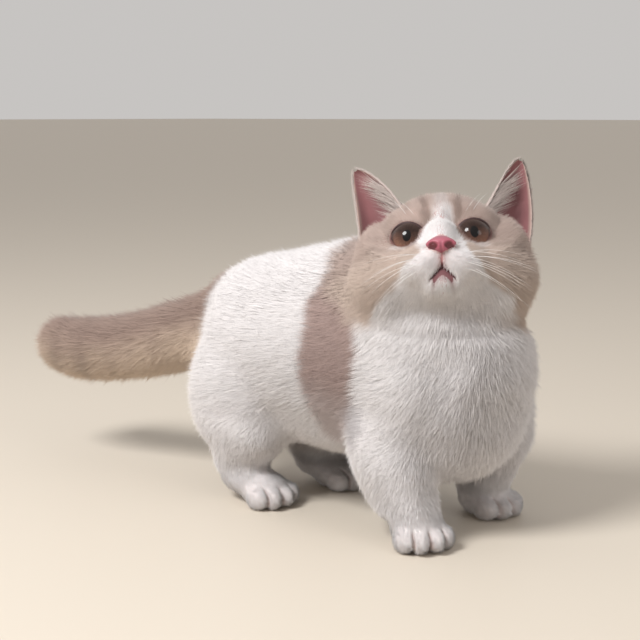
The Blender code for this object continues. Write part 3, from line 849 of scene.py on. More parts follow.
    def wisps(self, draw: np.random.Generator) -> Roots:
        """Long pale hairs that grow inside the inner edge and sweep up and outward over the opening."""
        count = 700
        share = draw.uniform(0.0, 0.72, count)
        turn = -draw.uniform(0.45, 0.98, count)
        made = self.hair(share, turn, np.ones(count), (8, 19), 0.30, (10, 4), draw, 0.0)
        axis, facing, across, _ = self.axes()
        lean = draw.uniform(0.35, 0.85, count)[:, None]
        forward = draw.uniform(-0.05, 0.35, count)[:, None]
        made.headings = self.turned(unit(axis * (1.0 - 0.35 * lean) + across * lean + facing * forward))
        made.normals = self.turned(np.tile(facing, (count, 1)))
        made.tones = np.array(self.wisp_tone) * draw.uniform(0.8, 1.15, count)[:, None]
        return made

    def turned(self, local: Array) -> Array:
        """Directions of the head's axes, given for the left ear, in the kitten's axes for this ear."""
        return local * (self.side, 1, 1) @ HEAD_TURN.T

    def hair(self, share: Array, turn: Array, depth: Array, lengths: tuple, width: float, lifts: tuple,
             draw: np.random.Generator, sideways: float) -> Roots:
        """Roots on the ear's wall.

        Args:
            share: How far up the ear each root is.
            turn: How far round it each root is.
            depth: 0 for a root outside and 1 for one inside.
            lengths: The shortest and longest hair.
            width: The width of a tuft.
            lifts: Degrees from the wall at the root and at the tip.
            draw: The source of the variation.
            sideways: How far the hair also leans past the ear's edge.

        Returns:
            The roots.
        """
        count = len(share)
        spots = self.surface(share, turn, depth)
        up = unit(self.surface(np.minimum(share + 0.02, 0.995), turn, depth) - spots + 1e-6)
        round_it = unit(self.surface(share, turn + 0.02, depth) - spots)
        normals = unit(np.cross(up, round_it)) * self.side * np.where(depth > 0.5, -1, 1)[:, None]
        outward = np.sign(turn)[:, None] * round_it
        headings = unit(up + sideways * outward + draw.normal(0, 0.12, (count, 3)))
        normals = unit(normals + 3.0 * sideways * outward)
        tones = self.back_tones(spots, share) * (1 + draw.normal(0, 0.06, count))[:, None]
        tones = mix(tones, self.rim_hair_tone, 0.7 * smoothstep(0.86, 0.97, np.abs(turn)))
        sizes = draw.uniform(*lengths, count)
        widths = width * draw.uniform(0.7, 1.2, count)
        lifts = [np.radians(lift + draw.normal(0, 4, count)) for lift in lifts]
        return Roots(spots, normals, headings, sizes, widths, *lifts, tones, self.flat(share, turn))


@dataclass
class Skin:
    """The one skin under the coat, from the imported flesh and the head's and paws' own masses."""

    nodes: tuple = (
        "head", "neck", "chest", "barrel", "hindquarters", "tail_base", "tail_middle", "tail_tip",
        "front_leg_left", "front_leg_right", "hind_leg_left", "hind_leg_right",
        "front_paw_left", "front_paw_right", "hind_paw_left", "hind_paw_right",
    )
    voxel: float = 0.9
    bridge: float = 0.22
    softening: int = 60
    neck_softening: int = 160
    floor_gap: float = 0.5
    body_triangles: int = 45000
    body: bpy.types.Object = field(init=False, default=None)

    def build(self) -> bpy.types.Object:
        """Fuses, softens and insets the skin, then opens it at the eyes and creases the mouth and toes."""
        self.body = new_object("skin", self.gather())
        fuse = self.body.modifiers.new("fuse", "REMESH")
        fuse.mode = "VOXEL"
        fuse.voxel_size = self.voxel
        apply_modifiers(self.body)
        self.keep_outer()
        self.soften(self.softening, 0.6)
        self.relax_neck()
        self.inset()
        self.thin_body()
        self.refine()
        for side in SIDES.values():
            self.open_eye(side)
        self.carve()
        return self.body

    def gather(self) -> bpy.types.Mesh:
        """Every mass of flesh in one mesh, overlapping, in the kitten's axes."""
        whole = bmesh.new()
        for name in self.nodes:
            bm = bmesh.new()
            bm.from_mesh(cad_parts[name].data)
            bmesh.ops.remove_doubles(bm, verts=bm.verts, dist=1e-6)
            bm.normal_update()
            grown = [vertex.co / MM - Vector(PLACE.shift) + vertex.normal * self.bridge for vertex in bm.verts]
            for vertex, spot in zip(bm.verts, grown):
                vertex.co = spot
            mesh = from_bmesh(bm, name)
            whole.from_mesh(mesh)
            bpy.data.meshes.remove(mesh)
        for centre, radii, axes in self.masses():
            ball = bmesh.new()
            matrix = axes @ Matrix.Translation(centre) @ Matrix.Diagonal((*radii, 1.0))
            bmesh.ops.create_uvsphere(ball, u_segments=48, v_segments=32, radius=1.0, matrix=matrix)
            mesh = from_bmesh(ball, "mass")
            whole.from_mesh(mesh)
            bpy.data.meshes.remove(mesh)
        return from_bmesh(whole, "skin")

    def masses(self) -> list[tuple]:
        """The head's and the toes' masses, each a centre, radii and axes."""
        found = [(centre, radii, HEAD_AXES) for centre, radii in HEAD.masses]
        bed = HEAD.eye_radius + HEAD.eye_bed
        for side in SIDES.values():
            for (x, y, z), radii in (*HEAD.pairs, (HEAD.eye_centre, (bed, bed, bed))):
                found.append(((x * side, y, z), radii, HEAD_AXES))
        for axes in PAWS.frames():
            found.extend((centre, radii, axes) for centre, radii in PAWS.masses)
            for x, y, width in PAWS.toes:
                size = (width, PAWS.toe_half_length, PAWS.toe_half_height)
                found.append(((x, y, PAWS.toe_height), size, axes))
        return found

    def keep_outer(self) -> None:
        """Drops any closed scrap but the outer surface."""
        mesh = self.body.data
        bm = bmesh.new()
        bm.from_mesh(mesh)
        bm.verts.ensure_lookup_table()
        start = max(bm.verts, key=lambda vertex: vertex.co.z)
        seen, stack = {start}, [start]
        while stack:
            for edge in stack.pop().link_edges:
                for vertex in edge.verts:
                    if vertex not in seen:
                        seen.add(vertex)
                        stack.append(vertex)
        bmesh.ops.delete(bm, geom=[vertex for vertex in bm.verts if vertex not in seen], context="VERTS")
        bm.to_mesh(mesh)
        bm.free()

    def soften(self, steps: int, factor: float) -> None:
        """Smooths the skin: fully on the body, lightly on the face and toes."""
        points = mesh_points(self.body.data)
        shares = REGIONS.shares(points)
        local = rows_in(HEAD_AXES, points)
        weights = 1 - 0.45 * (shares[:, Zone.FOREHEAD.value] + shares[:, Zone.CHEEK.value])
        weights -= 0.7 * shares[:, Zone.FACE.value]
        weights *= smoothstep(8, 19, points[:, 2]) * 0.94 + 0.06
        weights[np.linalg.norm(local - (0, -32, -8), axis=1) < 20] = 0.25
        self.relax(np.clip(weights, 0.04, 1), steps, factor)

    def relax(self, weights: Array, steps: int, factor: float) -> None:
        """Smooths the skin by a weight for every vertex."""
        smooth = self.body.modifiers.new("relax", "SMOOTH")
        smooth.factor, smooth.iterations = factor, steps
        smooth.vertex_group = weigh(self.body, weights)
        apply_modifiers(self.body)
        self.body.vertex_groups.clear()

    def relax_neck(self) -> None:
        """Smooths away the step between the throat and the chest."""
        points = mesh_points(self.body.data)
        out = HEAD.reach(rows_in(HEAD_AXES, points))
        weights = smoothstep(0.95, 1.1, out) * smoothstep(1.8, 1.4, out) * smoothstep(124, 112, points[:, 2])
        self.relax(weights, self.neck_softening, 0.6)

    def inset(self) -> None:
        """Sinks the skin below the solids' surface by the coat's depth, and rests it above the floor."""
        mesh = self.body.data
        points, normals = mesh_points(mesh), mesh_points(mesh, "normal")
        depth = REGIONS.blend(REGIONS.shares(points), "depth")
        points -= normals * depth[:, None]
        points[:, 2] = np.maximum(points[:, 2], self.floor_gap)
        put_points(mesh, points)
        self.soften(6, 0.5)

    def thin_body(self) -> None:
        """Leaves fewer faces where long hair covers the skin."""
        points = mesh_points(self.body.data)
        shares = REGIONS.shares(points)
        fine = [zone.value for zone in (Zone.FACE, Zone.FOREHEAD, Zone.CHEEK, Zone.PAW)]
        coarse = ~(shares[:, fine].sum(axis=1) > 0.3)
        marked = set(np.flatnonzero(coarse).tolist())
        faces = self.body.data.polygons
        total = sum(len(face.vertices) - 2 for face in faces)
        held = sum(len(face.vertices) - 2 for face in faces if not marked.issuperset(face.vertices))
        thin = self.body.modifiers.new("thin", "DECIMATE")
        thin.ratio = min(1.0, (held + self.body_triangles) / total)
        thin.vertex_group = weigh(self.body, coarse.astype(float))
        apply_modifiers(self.body)
        self.body.vertex_groups.clear()

    def refine(self) -> None:
        """Splits the faces round the mouth and the toes, for their creases."""
        bm = bmesh.new()
        bm.from_mesh(self.body.data)
        points = np.array([vertex.co for vertex in bm.verts])
        x, y, z = rows_in(HEAD_AXES, points).T
        fine = (np.abs(x) < 8.5) & (z < -7.5) & (z > -25) & (y < -24)
        for axes in PAWS.frames():
            x, y, z = rows_in(axes, points).T
            fine |= (np.abs(x) < 13) & (y < -5) & (y > -22) & (z < 13) & (z > 0.6)
        edges = [edge for edge in bm.edges if fine[edge.verts[0].index] and fine[edge.verts[1].index]]
        bmesh.ops.subdivide_edges(bm, edges=edges, cuts=1, use_grid_fill=True, smooth=0.6)
        bm.to_mesh(self.body.data)
        bm.free()

    def carve(self) -> None:
        """Presses the mouth and the gaps between the toes into the skin."""
        mesh = self.body.data
        points, normals = mesh_points(mesh), mesh_points(mesh, "normal")
        points -= normals * (TOE_GAPS.depth * TOE_GAPS.share(points))[:, None]
        points[:, 2] = np.maximum(points[:, 2], self.floor_gap)
        put_points(mesh, MOUTH.carve(points))

    def open_eye(self, side: int) -> None:
        """Sinks the skin behind the eyeball inside the almond, and lays the lids close round it."""
        mesh = self.body.data
        points = mesh_points(mesh)
        ring, local, reach = eye_ring(side, points)
        near = (ring < 2) & (reach < 18)
        behind = HEAD.eye_radius - 1.4
        close = HEAD.eye_radius + 0.15
        lid = close + (reach - close) * smoothstep(1.04, 1.5, ring)
        target = np.where(ring < 0.97, behind, np.minimum(reach, np.maximum(lid, close)))
        target = np.where(near, target, reach)
        axes = HEAD.eye_axes(side)
        points = rows_out(axes, local * (target / np.maximum(reach, 1e-6))[:, None])
        put_points(mesh, points)


@dataclass
class Tufts:
    """Turns roots into thin three-sided tufts that bend along their lie, joined in one mesh."""

    bent: bool = True
    patch: float = 0.003
    softness: float = 0.82

    def mesh(self, name: str, roots: Roots) -> bpy.types.Mesh:
        """Builds the tufts.

        Args:
            name: The mesh's name.
            roots: The roots that they grow from.

        Returns:
            One mesh with colours, a flat map and soft normals.
        """
        count = len(roots.points)
        shares = (0.0, 0.5) if self.bent else (0.0,)
        lifts = [roots.root_lift, roots.tip_lift]
        ways = [
            roots.headings * np.cos(lift)[:, None] + roots.normals * np.sin(lift)[:, None] for lift in lifts
        ]
        if not self.bent:
            ways = [unit(ways[0] + ways[1])] * 2
        half = 0.5 * roots.lengths[:, None]
        start = roots.points - roots.normals * 0.35
        middle = start + ways[0] * half
        tip = middle + ways[1] * half
        across = unit(np.cross(ways[0], roots.normals))
        above = unit(np.cross(across, ways[0]))
        corners, outs = [], []
        spines = [start, middle][: len(shares)]
        for spine, swell in zip(spines, (1.0, 0.82)):
            for k in range(3):
                angle = math.pi / 2 + 2 * math.pi * k / 3
                spread = across * math.cos(angle) + above * math.sin(angle)
                corners.append(spine + spread * (0.5 * swell * roots.widths)[:, None])
                outs.append(spread)
        corners.append(tip)
        outs.append(above)
        per = len(corners)
        points = np.stack(corners, axis=1).reshape(-1, 3)
        points[:, 2] = np.maximum(points[:, 2], 0.15)
        faces, starts, total = self.faces(count, per)
        mesh = bpy.data.meshes.new(name)
        mesh.vertices.add(len(points))
        mesh.vertices.foreach_set("co", PLACE.outward(points).astype(np.float32).ravel())
        mesh.loops.add(total)
        mesh.loops.foreach_set("vertex_index", faces.astype(np.int32))
        mesh.polygons.add(len(starts))
        mesh.polygons.foreach_set("loop_start", starts.astype(np.int32))
        mesh.update(calc_edges=True)
        along = np.array([0.0] * 3 + [0.5] * 3 * (len(shares) - 1) + [1.0])
        # painted shade: each tuft is a little darker at its root, where the hairs shade one another
        shade = 0.90 + 0.11 * along
        tones = roots.tones[:, None, :] * shade[None, :, None]
        colour_layer(mesh, np.clip(tones.reshape(-1, 3), 0, 1))
        index = faces % per
        lean = np.array([k % 3 / 2 for k in range(per - 1)] + [0.5])
        spot = roots.uv[faces // per]
        spot = spot + self.patch * np.stack([lean[index] - 0.5, along[index] - 0.5], axis=1)
        bake_map(mesh, np.clip(spot, 0.001, 0.999))
        self.soften_normals(mesh, roots, outs)
        return mesh

    def soften_normals(self, mesh: bpy.types.Mesh, roots: Roots, outs: list) -> None:
        """Shades each tuft mostly as the skin under it, so that the coat looks plush and not spiky."""
        rows = [unit(self.softness * roots.normals + (1 - self.softness) * out) for out in outs]
        normals = np.stack(rows, axis=1).reshape(-1, 3)
        mesh.shade_smooth()
        mesh.normals_split_custom_set_from_vertices(normals.astype(np.float32))

    def faces(self, count: int, per: int) -> tuple[Array, Array, int]:
        """The corners of the faces of every tuft.

        Args:
            count: How many tufts there are.
            per: How many vertices each has.

        Returns:
            The vertex at each corner, the first corner of each face, and the number of corners.
        """
        pattern = []
        for ring in range((per - 1) // 3 - 1):
            for k in range(3):
                j = (k + 1) % 3
                pattern.append((3 * ring + j, 3 * ring + k, 3 * ring + 3 + k, 3 * ring + 3 + j))
        last = per - 4
        pattern += [(last + (k + 1) % 3, last + k, per - 1) for k in range(3)]
        flat = np.array([corner for face in pattern for corner in face])
        sizes = np.array([len(face) for face in pattern])
        offsets = np.concatenate([[0], np.cumsum(sizes)[:-1]])
        faces = (flat[None] + per * np.arange(count)[:, None]).ravel()
        starts = (offsets[None] + len(flat) * np.arange(count)[:, None]).ravel()
        return faces, starts, len(faces)


@dataclass
class Coat:
    """The plush coat, in pieces by the part of the body that they grow on."""

    skin: bpy.types.Object
    seed: int = 7
    limit: int = 195000

    PIECES = {
        "coat_face": (Zone.FACE, -999, 999),
        "coat_crown": (Zone.FOREHEAD, -999, 999),
        "coat_cheeks": (Zone.CHEEK, -999, 999),
        "coat_throat": (Zone.THROAT, -999, 999),
        "coat_chest": (Zone.CHEST, -999, 999),
        "coat_shoulders": (Zone.FLANK, -999, 0),
        "coat_flanks": (Zone.FLANK, 0, 46),
        "coat_rump": (Zone.FLANK, 46, 999),
        "coat_legs": (Zone.LEG, -999, 999),
        "coat_paws": (Zone.PAW, -999, 999),
        "coat_tail": (Zone.TAIL, -999, 999),
    }
    guard_share: float = 0.043
    guard_zones: tuple = (Zone.THROAT, Zone.CHEST, Zone.FLANK, Zone.TAIL, Zone.CHEEK, Zone.LEG)

    def build(self) -> list[bpy.types.Object]:
        """Grows every piece of the coat from the skin: dense straight undercoat and fewer long bent hairs."""
        roots, owner = self.scatter()
        guard = np.random.default_rng(self.seed + 1).uniform(0, 1, len(owner)) < self.guard_share
        guard &= np.isin(owner, [zone.value for zone in self.guard_zones])
        made = []
        for name, (zone, front, back) in self.PIECES.items():
            chosen = (owner == zone.value) & ~guard
            chosen &= (roots.points[:, 1] >= front) & (roots.points[:, 1] < back)
            made.append(self.piece(name, roots, np.flatnonzero(chosen), False))
        long = roots.part(np.flatnonzero(guard))
        long.lengths *= 1.15
        long.root_lift += math.radians(8)
        long.tip_lift += math.radians(4)
        made.append(self.piece("coat_guard_hair", long, np.arange(len(long.points)), True))
        return made

    def piece(self, name: str, roots: Roots, index: Array, bent: bool) -> bpy.types.Object:
        """One piece of the coat, thinned evenly if it would have too many faces.

        Args:
            name: The piece's name.
            roots: Where tufts can grow.
            index: The roots that this piece uses.
            bent: Whether its tufts bend.

        Returns:
            The piece.
        """
        most = self.limit // (9 if bent else 3)
        if len(index) > most:
            LOG.info("%s would have %d tufts and keeps %d", name, len(index), most)
            index = np.sort(np.random.default_rng(self.seed).choice(index, most, replace=False))
        LOG.info("%s: %d tufts", name, len(index))
        return new_object(name, Tufts(bent=bent).mesh(name, roots.part(index)))

    def scatter(self) -> tuple[Roots, Array]:
        """Draws the roots over the skin, closer together where the coat is finer.

        Returns:
            The roots, and the zone that each belongs to.
        """
        mesh = self.skin.data
        points, normals = mesh_points(mesh), mesh_points(mesh, "normal")
        corners = triangles_of(mesh)
        a, b, c = (points[corners[:, k]] for k in range(3))
        area = 0.5 * np.linalg.norm(np.cross(b - a, c - a), axis=1)
        density = REGIONS.blend(REGIONS.shares((a + b + c) / 3), "density")
        density *= self.grows((a + b + c) / 3)
        amount = np.cumsum(area * density)
        draw = np.random.default_rng(self.seed)
        count = int(amount[-1])
        marks = (np.arange(count) + draw.uniform(0, 1, count)) / count * amount[-1]
        chosen = np.minimum(np.searchsorted(amount, marks), len(corners) - 1)
        u, v = draw.uniform(0, 1, (2, count))
        flip = u + v > 1
        u[flip], v[flip] = 1 - u[flip], 1 - v[flip]
        weights = np.stack([1 - u - v, u, v], axis=1)[:, :, None]
        spots = (points[corners[chosen]] * weights).sum(axis=1)
        faces_out = unit((normals[corners[chosen]] * weights).sum(axis=1))
        return self.dress(spots, faces_out, draw)

    @staticmethod
    def grows(points: Array) -> Array:
        """1 where hair grows, and 0 in the open eyes, under the nose leather and beneath the paws."""
        grows = np.ones(len(points))
        for side in SIDES.values():
            ring, _, reach = eye_ring(side, points)
            grows[(ring < 1.02) & (reach < HEAD.eye_radius + 0.9)] = 0
        x, y, z = rows_in(HEAD_AXES, points).T
        grows[MOUTH.bare(points)] = 0
        grows[(y < -24) & NOSE.covers(x, z, 1.0)] = 0
        grows[points[:, 2] < 0.8] = 0
        return grows

    def dress(self, spots: Array, normals: Array, draw: np.random.Generator) -> tuple[Roots, Array]:
        """Gives each root its size, lie and colour."""
        shares = REGIONS.shares(spots)
        count = len(spots)
        headings = Lie().heading(spots, normals, shares)
        sideways = np.cross(normals, headings)
        swing = draw.normal(0, 0.15, count)[:, None]
        headings = unit(headings + sideways * swing)
        lengths = REGIONS.blend(shares, "length") * draw.uniform(0.72, 1.15, count)
        widths = REGIONS.blend(shares, "width") * draw.uniform(0.75, 1.2, count)
        ruffle = 6 * NOISE.at(spots, 9)[:, 0] + draw.normal(0, 6, count)
        root_lift = np.radians(REGIONS.blend(shares, "root_lift") + ruffle)
        tip_lift = np.radians(REGIONS.blend(shares, "tip_lift") + ruffle)
        tones = MARKINGS.tone(spots + headings * (0.3 * lengths)[:, None])
        streak = 0.06 * NOISE.at(spots, 2.6)[:, 1] + draw.normal(0, 0.045, count)
        tones = tones * (1 + streak)[:, None]
        # painted shade in the creases between the toes
        tones = mix(tones, TOE_GAPS.tone, 0.6 * TOE_GAPS.share(spots))
        # painted shade on the hair of the lower lip and beside the groove
        tones = MOUTH.tint(spots, tones)
        tones = mix(tones, Eye.corner, 0.55 * eye_edge(spots, 1.12))
        near_eye = np.minimum(*(eye_ring(side, spots)[0] for side in SIDES.values()))
        raised = np.radians(16) * smoothstep(2.3, 1.5, near_eye) * shares[:, :3].sum(axis=1)
        root_lift, tip_lift = root_lift + raised, tip_lift + raised
        owner = shares.argmax(axis=1)
        uv = UNWRAP.place(spots)
        roots = Roots(spots, normals, headings, lengths, widths, root_lift, tip_lift, tones, uv)
        return roots, owner


@dataclass
class Eye:
    """One eyeball with a bulging cornea, and the dark lid that rims it."""

    side: int
    bulge: float = 0.9
    cornea: float = math.radians(50)
    lid_spread: float = 1.04
    lid_upper: float = 0.95
    lid_lower: float = 0.42
    lid_flatness: float = 0.42
    lid_corner: float = 0.55
    lid_points: int = 56
    corner: tuple = (0.15, 0.06, 0.055)
    # the upper lid's own dark rim, deepened with painted shade
    upper_lid_and_shade_tone: tuple = (0.035, 0.012, 0.012)
    lower_tone: tuple = (0.12, 0.05, 0.045)

    def ball(self) -> bpy.types.Object:
        """The eyeball with its cornea, mapped straight from the front."""
        look = Matrix.Rotation(-self.side * HEAD.gaze_in, 4, "Z") @ Matrix.Rotation(HEAD.gaze_down, 4, "X")
        axes, radius = HEAD.eye_axes(self.side) @ look, HEAD.eye_radius
        bm = bmesh.new()
        turn = Matrix.Rotation(math.radians(90), 4, "X")
        bmesh.ops.create_uvsphere(bm, u_segments=64, v_segments=48, radius=radius, matrix=turn)
        layer = bm.loops.layers.uv.new("gaze")
        for face in bm.faces:
            for loop in face.loops:
                x, _, z = loop.vert.co
                loop[layer].uv = (0.5 + self.side * x / (2 * radius), 0.5 + z / (2 * radius))
        for vertex in bm.verts:
            off = math.acos(max(-1.0, min(1.0, -vertex.co.y / radius)))
            rise = self.bulge * max(0.0, 1 - (off / self.cornea) ** 2)
            vertex.co += vertex.co.normalized() * rise
        bmesh.ops.transform(bm, matrix=axes, verts=bm.verts)
        bmesh.ops.recalc_face_normals(bm, faces=bm.faces)
        mesh = from_bmesh(bm, "eyeball")
        return placed(sided("eyeball", self.side), mesh, mesh_points(mesh))

    def lids(self) -> bpy.types.Object:
        """The dark rim of both lids, thick above and thin below, drawn out at the inner corner; the upper lid is
        darker with painted shade.
        """
        axes = HEAD.eye_axes(self.side)
        half, upper, lower = HEAD.eye_opening
        angle = np.linspace(0, 2 * math.pi, self.lid_points, endpoint=False)
        across, high = np.cos(angle), np.sin(angle)
        x = self.lid_spread * half * across * self.side
        z = np.where(high > 0, upper, lower) * self.lid_spread * np.sign(high) * np.abs(high) ** 1.15
        spots = np.stack([x, -np.sqrt(HEAD.eye_radius ** 2 - x * x - z * z), z], axis=1)
        inner = np.exp(-((across + 1) / 0.10) ** 2)
        spots[:, 0] -= self.side * 1.5 * inner
        spots[:, 2] -= 0.7 * inner
        spots[:, 1] -= 0.25 * inner
        top = smoothstep(-0.25, 0.5, high)
        radii = self.lid_lower + (self.lid_upper - self.lid_lower) * top
        radii = radii + (self.lid_corner - radii) * smoothstep(0.82, 1.0, np.abs(across))
        bm = bmesh.new()
        sweep(bm, spots, radii, 12, closed=True, flatten=self.lid_flatness, up=-unit(spots))
        bmesh.ops.transform(bm, matrix=axes, verts=bm.verts)
        mesh = from_bmesh(bm, "lids")
        local = rows_in(axes, mesh_points(mesh))
        # painted shade: the upper lid darker than the lower
        colour_layer(mesh, mix(self.lower_tone, self.upper_lid_and_shade_tone, smoothstep(-2.5, 2.5, local[:, 2])))
        return placed(sided("lids", self.side), mesh, mesh_points(mesh))


@dataclass
class Nose:
    """The nose leather with its two comma-shaped nostrils."""

    radii: tuple = (6.6, 3.2, 4.1)
    lower: float = 0.86
    taper: float = 0.62
    pink: tuple = (0.38, 0.09, 0.13)
    mauve: tuple = (0.31, 0.13, 0.155)
    # painted shade filling the nostrils
    dark: tuple = (0.10, 0.007, 0.014)
    edge: tuple = (0.50, 0.27, 0.26)

    def build(self) -> bpy.types.Object:
        """The leather, dented at the nostrils and split by a faint line below, with painted shade in both."""
        bm = bmesh.new()
        bmesh.ops.create_uvsphere(bm, u_segments=72, v_segments=54, radius=1.0)
        mesh = from_bmesh(bm, "nose_leather")
        points = mesh_points(mesh)
        x, y, z = points.T
        high = np.where(z < 0, self.lower, 1.0) * self.radii[2]
        spots = np.stack([x * self.narrowing(z) * self.radii[0], y * self.radii[1], z * high], axis=1)
        hollow = self.hollow(spots)
        seam = np.exp(-(spots[:, 0] / 0.55) ** 2) * smoothstep(1.0, -1.5, spots[:, 2])
        spots[:, 1] += 1.3 * hollow + 0.45 * seam
        # Painted shade: the seam is darkened a little and the nostrils' hollows are filled with near black.
        tones = mix(self.pink, self.mauve, smoothstep(0.5, 3.6, spots[:, 2])) * (1 - 0.35 * seam[:, None])
        colour_layer(mesh, mix(tones, self.dark, hollow))
        return placed("nose_leather", mesh, rows_out(HEAD_AXES, spots + np.array(HEAD.nose)))

    def narrowing(self, height: Array) -> Array:
        """The leather's width at each height from -1 to 1, as a share of its widest."""
        return 1 - self.taper * smoothstep(0.05, -0.95, height) - 0.28 * smoothstep(0.1, 1.0, height)

    def covers(self, x: Array, z: Array, margin: float) -> Array:
        """True where the leather lies over a spot of the face, a margin inside its edge."""
        height = (z - HEAD.nose.z) / self.radii[2]
        height = np.where(height < 0, height / self.lower, height)
        half = self.radii[0] * self.narrowing(height) * np.sqrt(np.clip(1 - height ** 2, 0, 1))
        return np.abs(x) < half - margin

    def hollow(self, spots: Array) -> Array:
        """How deep in a nostril each point is, from 0 to 1: a round hole with a slit that runs out and up."""
        wide = np.abs(spots[:, 0])
        front = spots[:, 1] < 0.5
        hole = smoothstep(1.2, 0.7, np.hypot((wide - 3.3) / 1.9, (spots[:, 2] + 0.9 - 0.25 * (wide - 3.3)) / 1.25))
        slit_line = -1.1 - 0.12 * (wide - 3.2)
        slit = smoothstep(1.0, 0.4, np.abs(spots[:, 2] - slit_line)) * smoothstep(2.6, 3.6, wide)
        return np.clip(np.maximum(hole, slit), 0, 1) * front


@dataclass(frozen=True)
class Mouth:
    """The line of the mouth under the nose, the lower lip below it and the groove above, all in the skin, with
    painted shade on the lip, in the groove and on the hair round them.
    """

    apex: float = -15.0
    steepness: float = 1.22
    rounding: float = 1.1
    half_width: float = 6.6
    groove_top: float = -9.5
    crease_width: float = 0.62
    crease_depth: float = 1.2
    lip_height: float = 7.0
    line_tone: tuple = (0.075, 0.018, 0.022)
    # the lip's and the groove's own mauve and pink, darkened with painted shade under the muzzle and in the groove
    lip_and_shade_tone: tuple = (0.15, 0.06, 0.065)
    groove_and_shade_tone: tuple = (0.33, 0.14, 0.14)
    # painted shade on the hair of the lower lip and beside the groove
    lip_hair_shade: tuple = (0.40, 0.29, 0.275)
    groove_painted_shade: tuple = (0.58, 0.35, 0.34)

    def parts(self, points: Array) -> tuple[Array, Array, Array]:
        """How much each point belongs to the line, to the lower lip and to the groove.

        Args:
            points: Rows of places in the kitten's axes.

        Returns:
            The three shares, each from 0 to 1.
        """
        x, y, z = rows_in(HEAD_AXES, points).T
        wide = np.abs(x)
        line = self.apex - self.steepness * (np.hypot(wide, self.rounding) - self.rounding)
        front = smoothstep(-22, -26, y)
        below = line - z
        thick = self.crease_width * (1 + 0.5 * np.exp(-(wide / 2.2) ** 2))
        crease = np.exp(-(below * 0.66 / thick) ** 2) * smoothstep(self.half_width, 0.8 * self.half_width, wide)
        lip = smoothstep(-0.2, 0.3, below) * smoothstep(self.lip_height, 0.2 * self.lip_height, below)
        lip *= smoothstep(0.85 * self.half_width, 0.5 * self.half_width, wide)
        groove = np.exp(-(x / 0.9) ** 2) * smoothstep(self.apex - 0.6, self.apex + 0.3, z)
        groove *= smoothstep(self.groove_top + 0.5, self.groove_top - 0.5, z)
        return crease * front, lip * front, groove * front

    def carve(self, points: Array) -> Array:
        """Presses the line and the groove into the skin and sets the lower lip back."""
        crease, lip, groove = self.parts(points)
        return points + (self.crease_depth * crease + 0.7 * lip + 0.4 * groove)[:, None] * HEAD_BACK

    def paint(self, points: Array, tones: Array) -> Array:
        """The skin's colours with the mouth's laid over them, the lip and the groove darkened with painted shade.
        """
        crease, lip, groove = self.parts(points)
        layers = ((1.8 * lip, self.lip_and_shade_tone), (groove, self.groove_and_shade_tone), (1.15 * crease, self.line_tone))
        for share, tone in layers:
            tones = mix(tones, tone, np.clip(share, 0, 1))
        return tones

    def tint(self, points: Array, tones: Array) -> Array:
        """The hair's colours with painted shade: greyer on the lower lip, and pinker and darker beside the groove.
        """
        _, lip, _ = self.parts(points)
        x, y, z = rows_in(HEAD_AXES, points).T
        tones = mix(tones, self.lip_hair_shade, 0.8 * np.clip(1.6 * lip, 0, 1))
        groove_painted_shade = np.exp(-(x / 2.6) ** 2) * smoothstep(-7.5, -9.5, z) * smoothstep(-17, -14.5, z)
        groove_painted_shade *= smoothstep(-22, -26, y)
        return mix(tones, self.groove_painted_shade, 0.6 * groove_painted_shade)

    def bare(self, points: Array) -> Array:
        """True where no hair grows: along the line and the groove and on the lower lip's edge."""
        crease, lip, groove = self.parts(points)
        return (crease > 0.45) | (lip > 0.6) | (groove > 0.6)


@dataclass(frozen=True)
class ToeGaps:
    """The creases between the toes, darkened with painted shade."""

    places: tuple = (-6.9, 0.0, 6.9)
    width: float = 0.8
    depth: float = 1.3
    # painted shade in the creases
    tone: tuple = (0.30, 0.185, 0.16)

    def share(self, points: Array) -> Array:
        """How deep in a crease each point lies, from 0 to 1."""
        deepest = np.zeros(len(points))
        for axes in PAWS.frames():
            x, y, z = rows_in(axes, points).T
            near = smoothstep(-5.0, -8.5, y) * smoothstep(-20, -19, y) * smoothstep(12.5, 9.0, z)
            for place in self.places:
                lean = place * (1 + 0.02 * (-8 - y))
                deepest = np.maximum(deepest, near * np.exp(-((x - lean) / self.width) ** 2))
        return deepest


NOSE = Nose()
MOUTH = Mouth()
TOE_GAPS = ToeGaps()


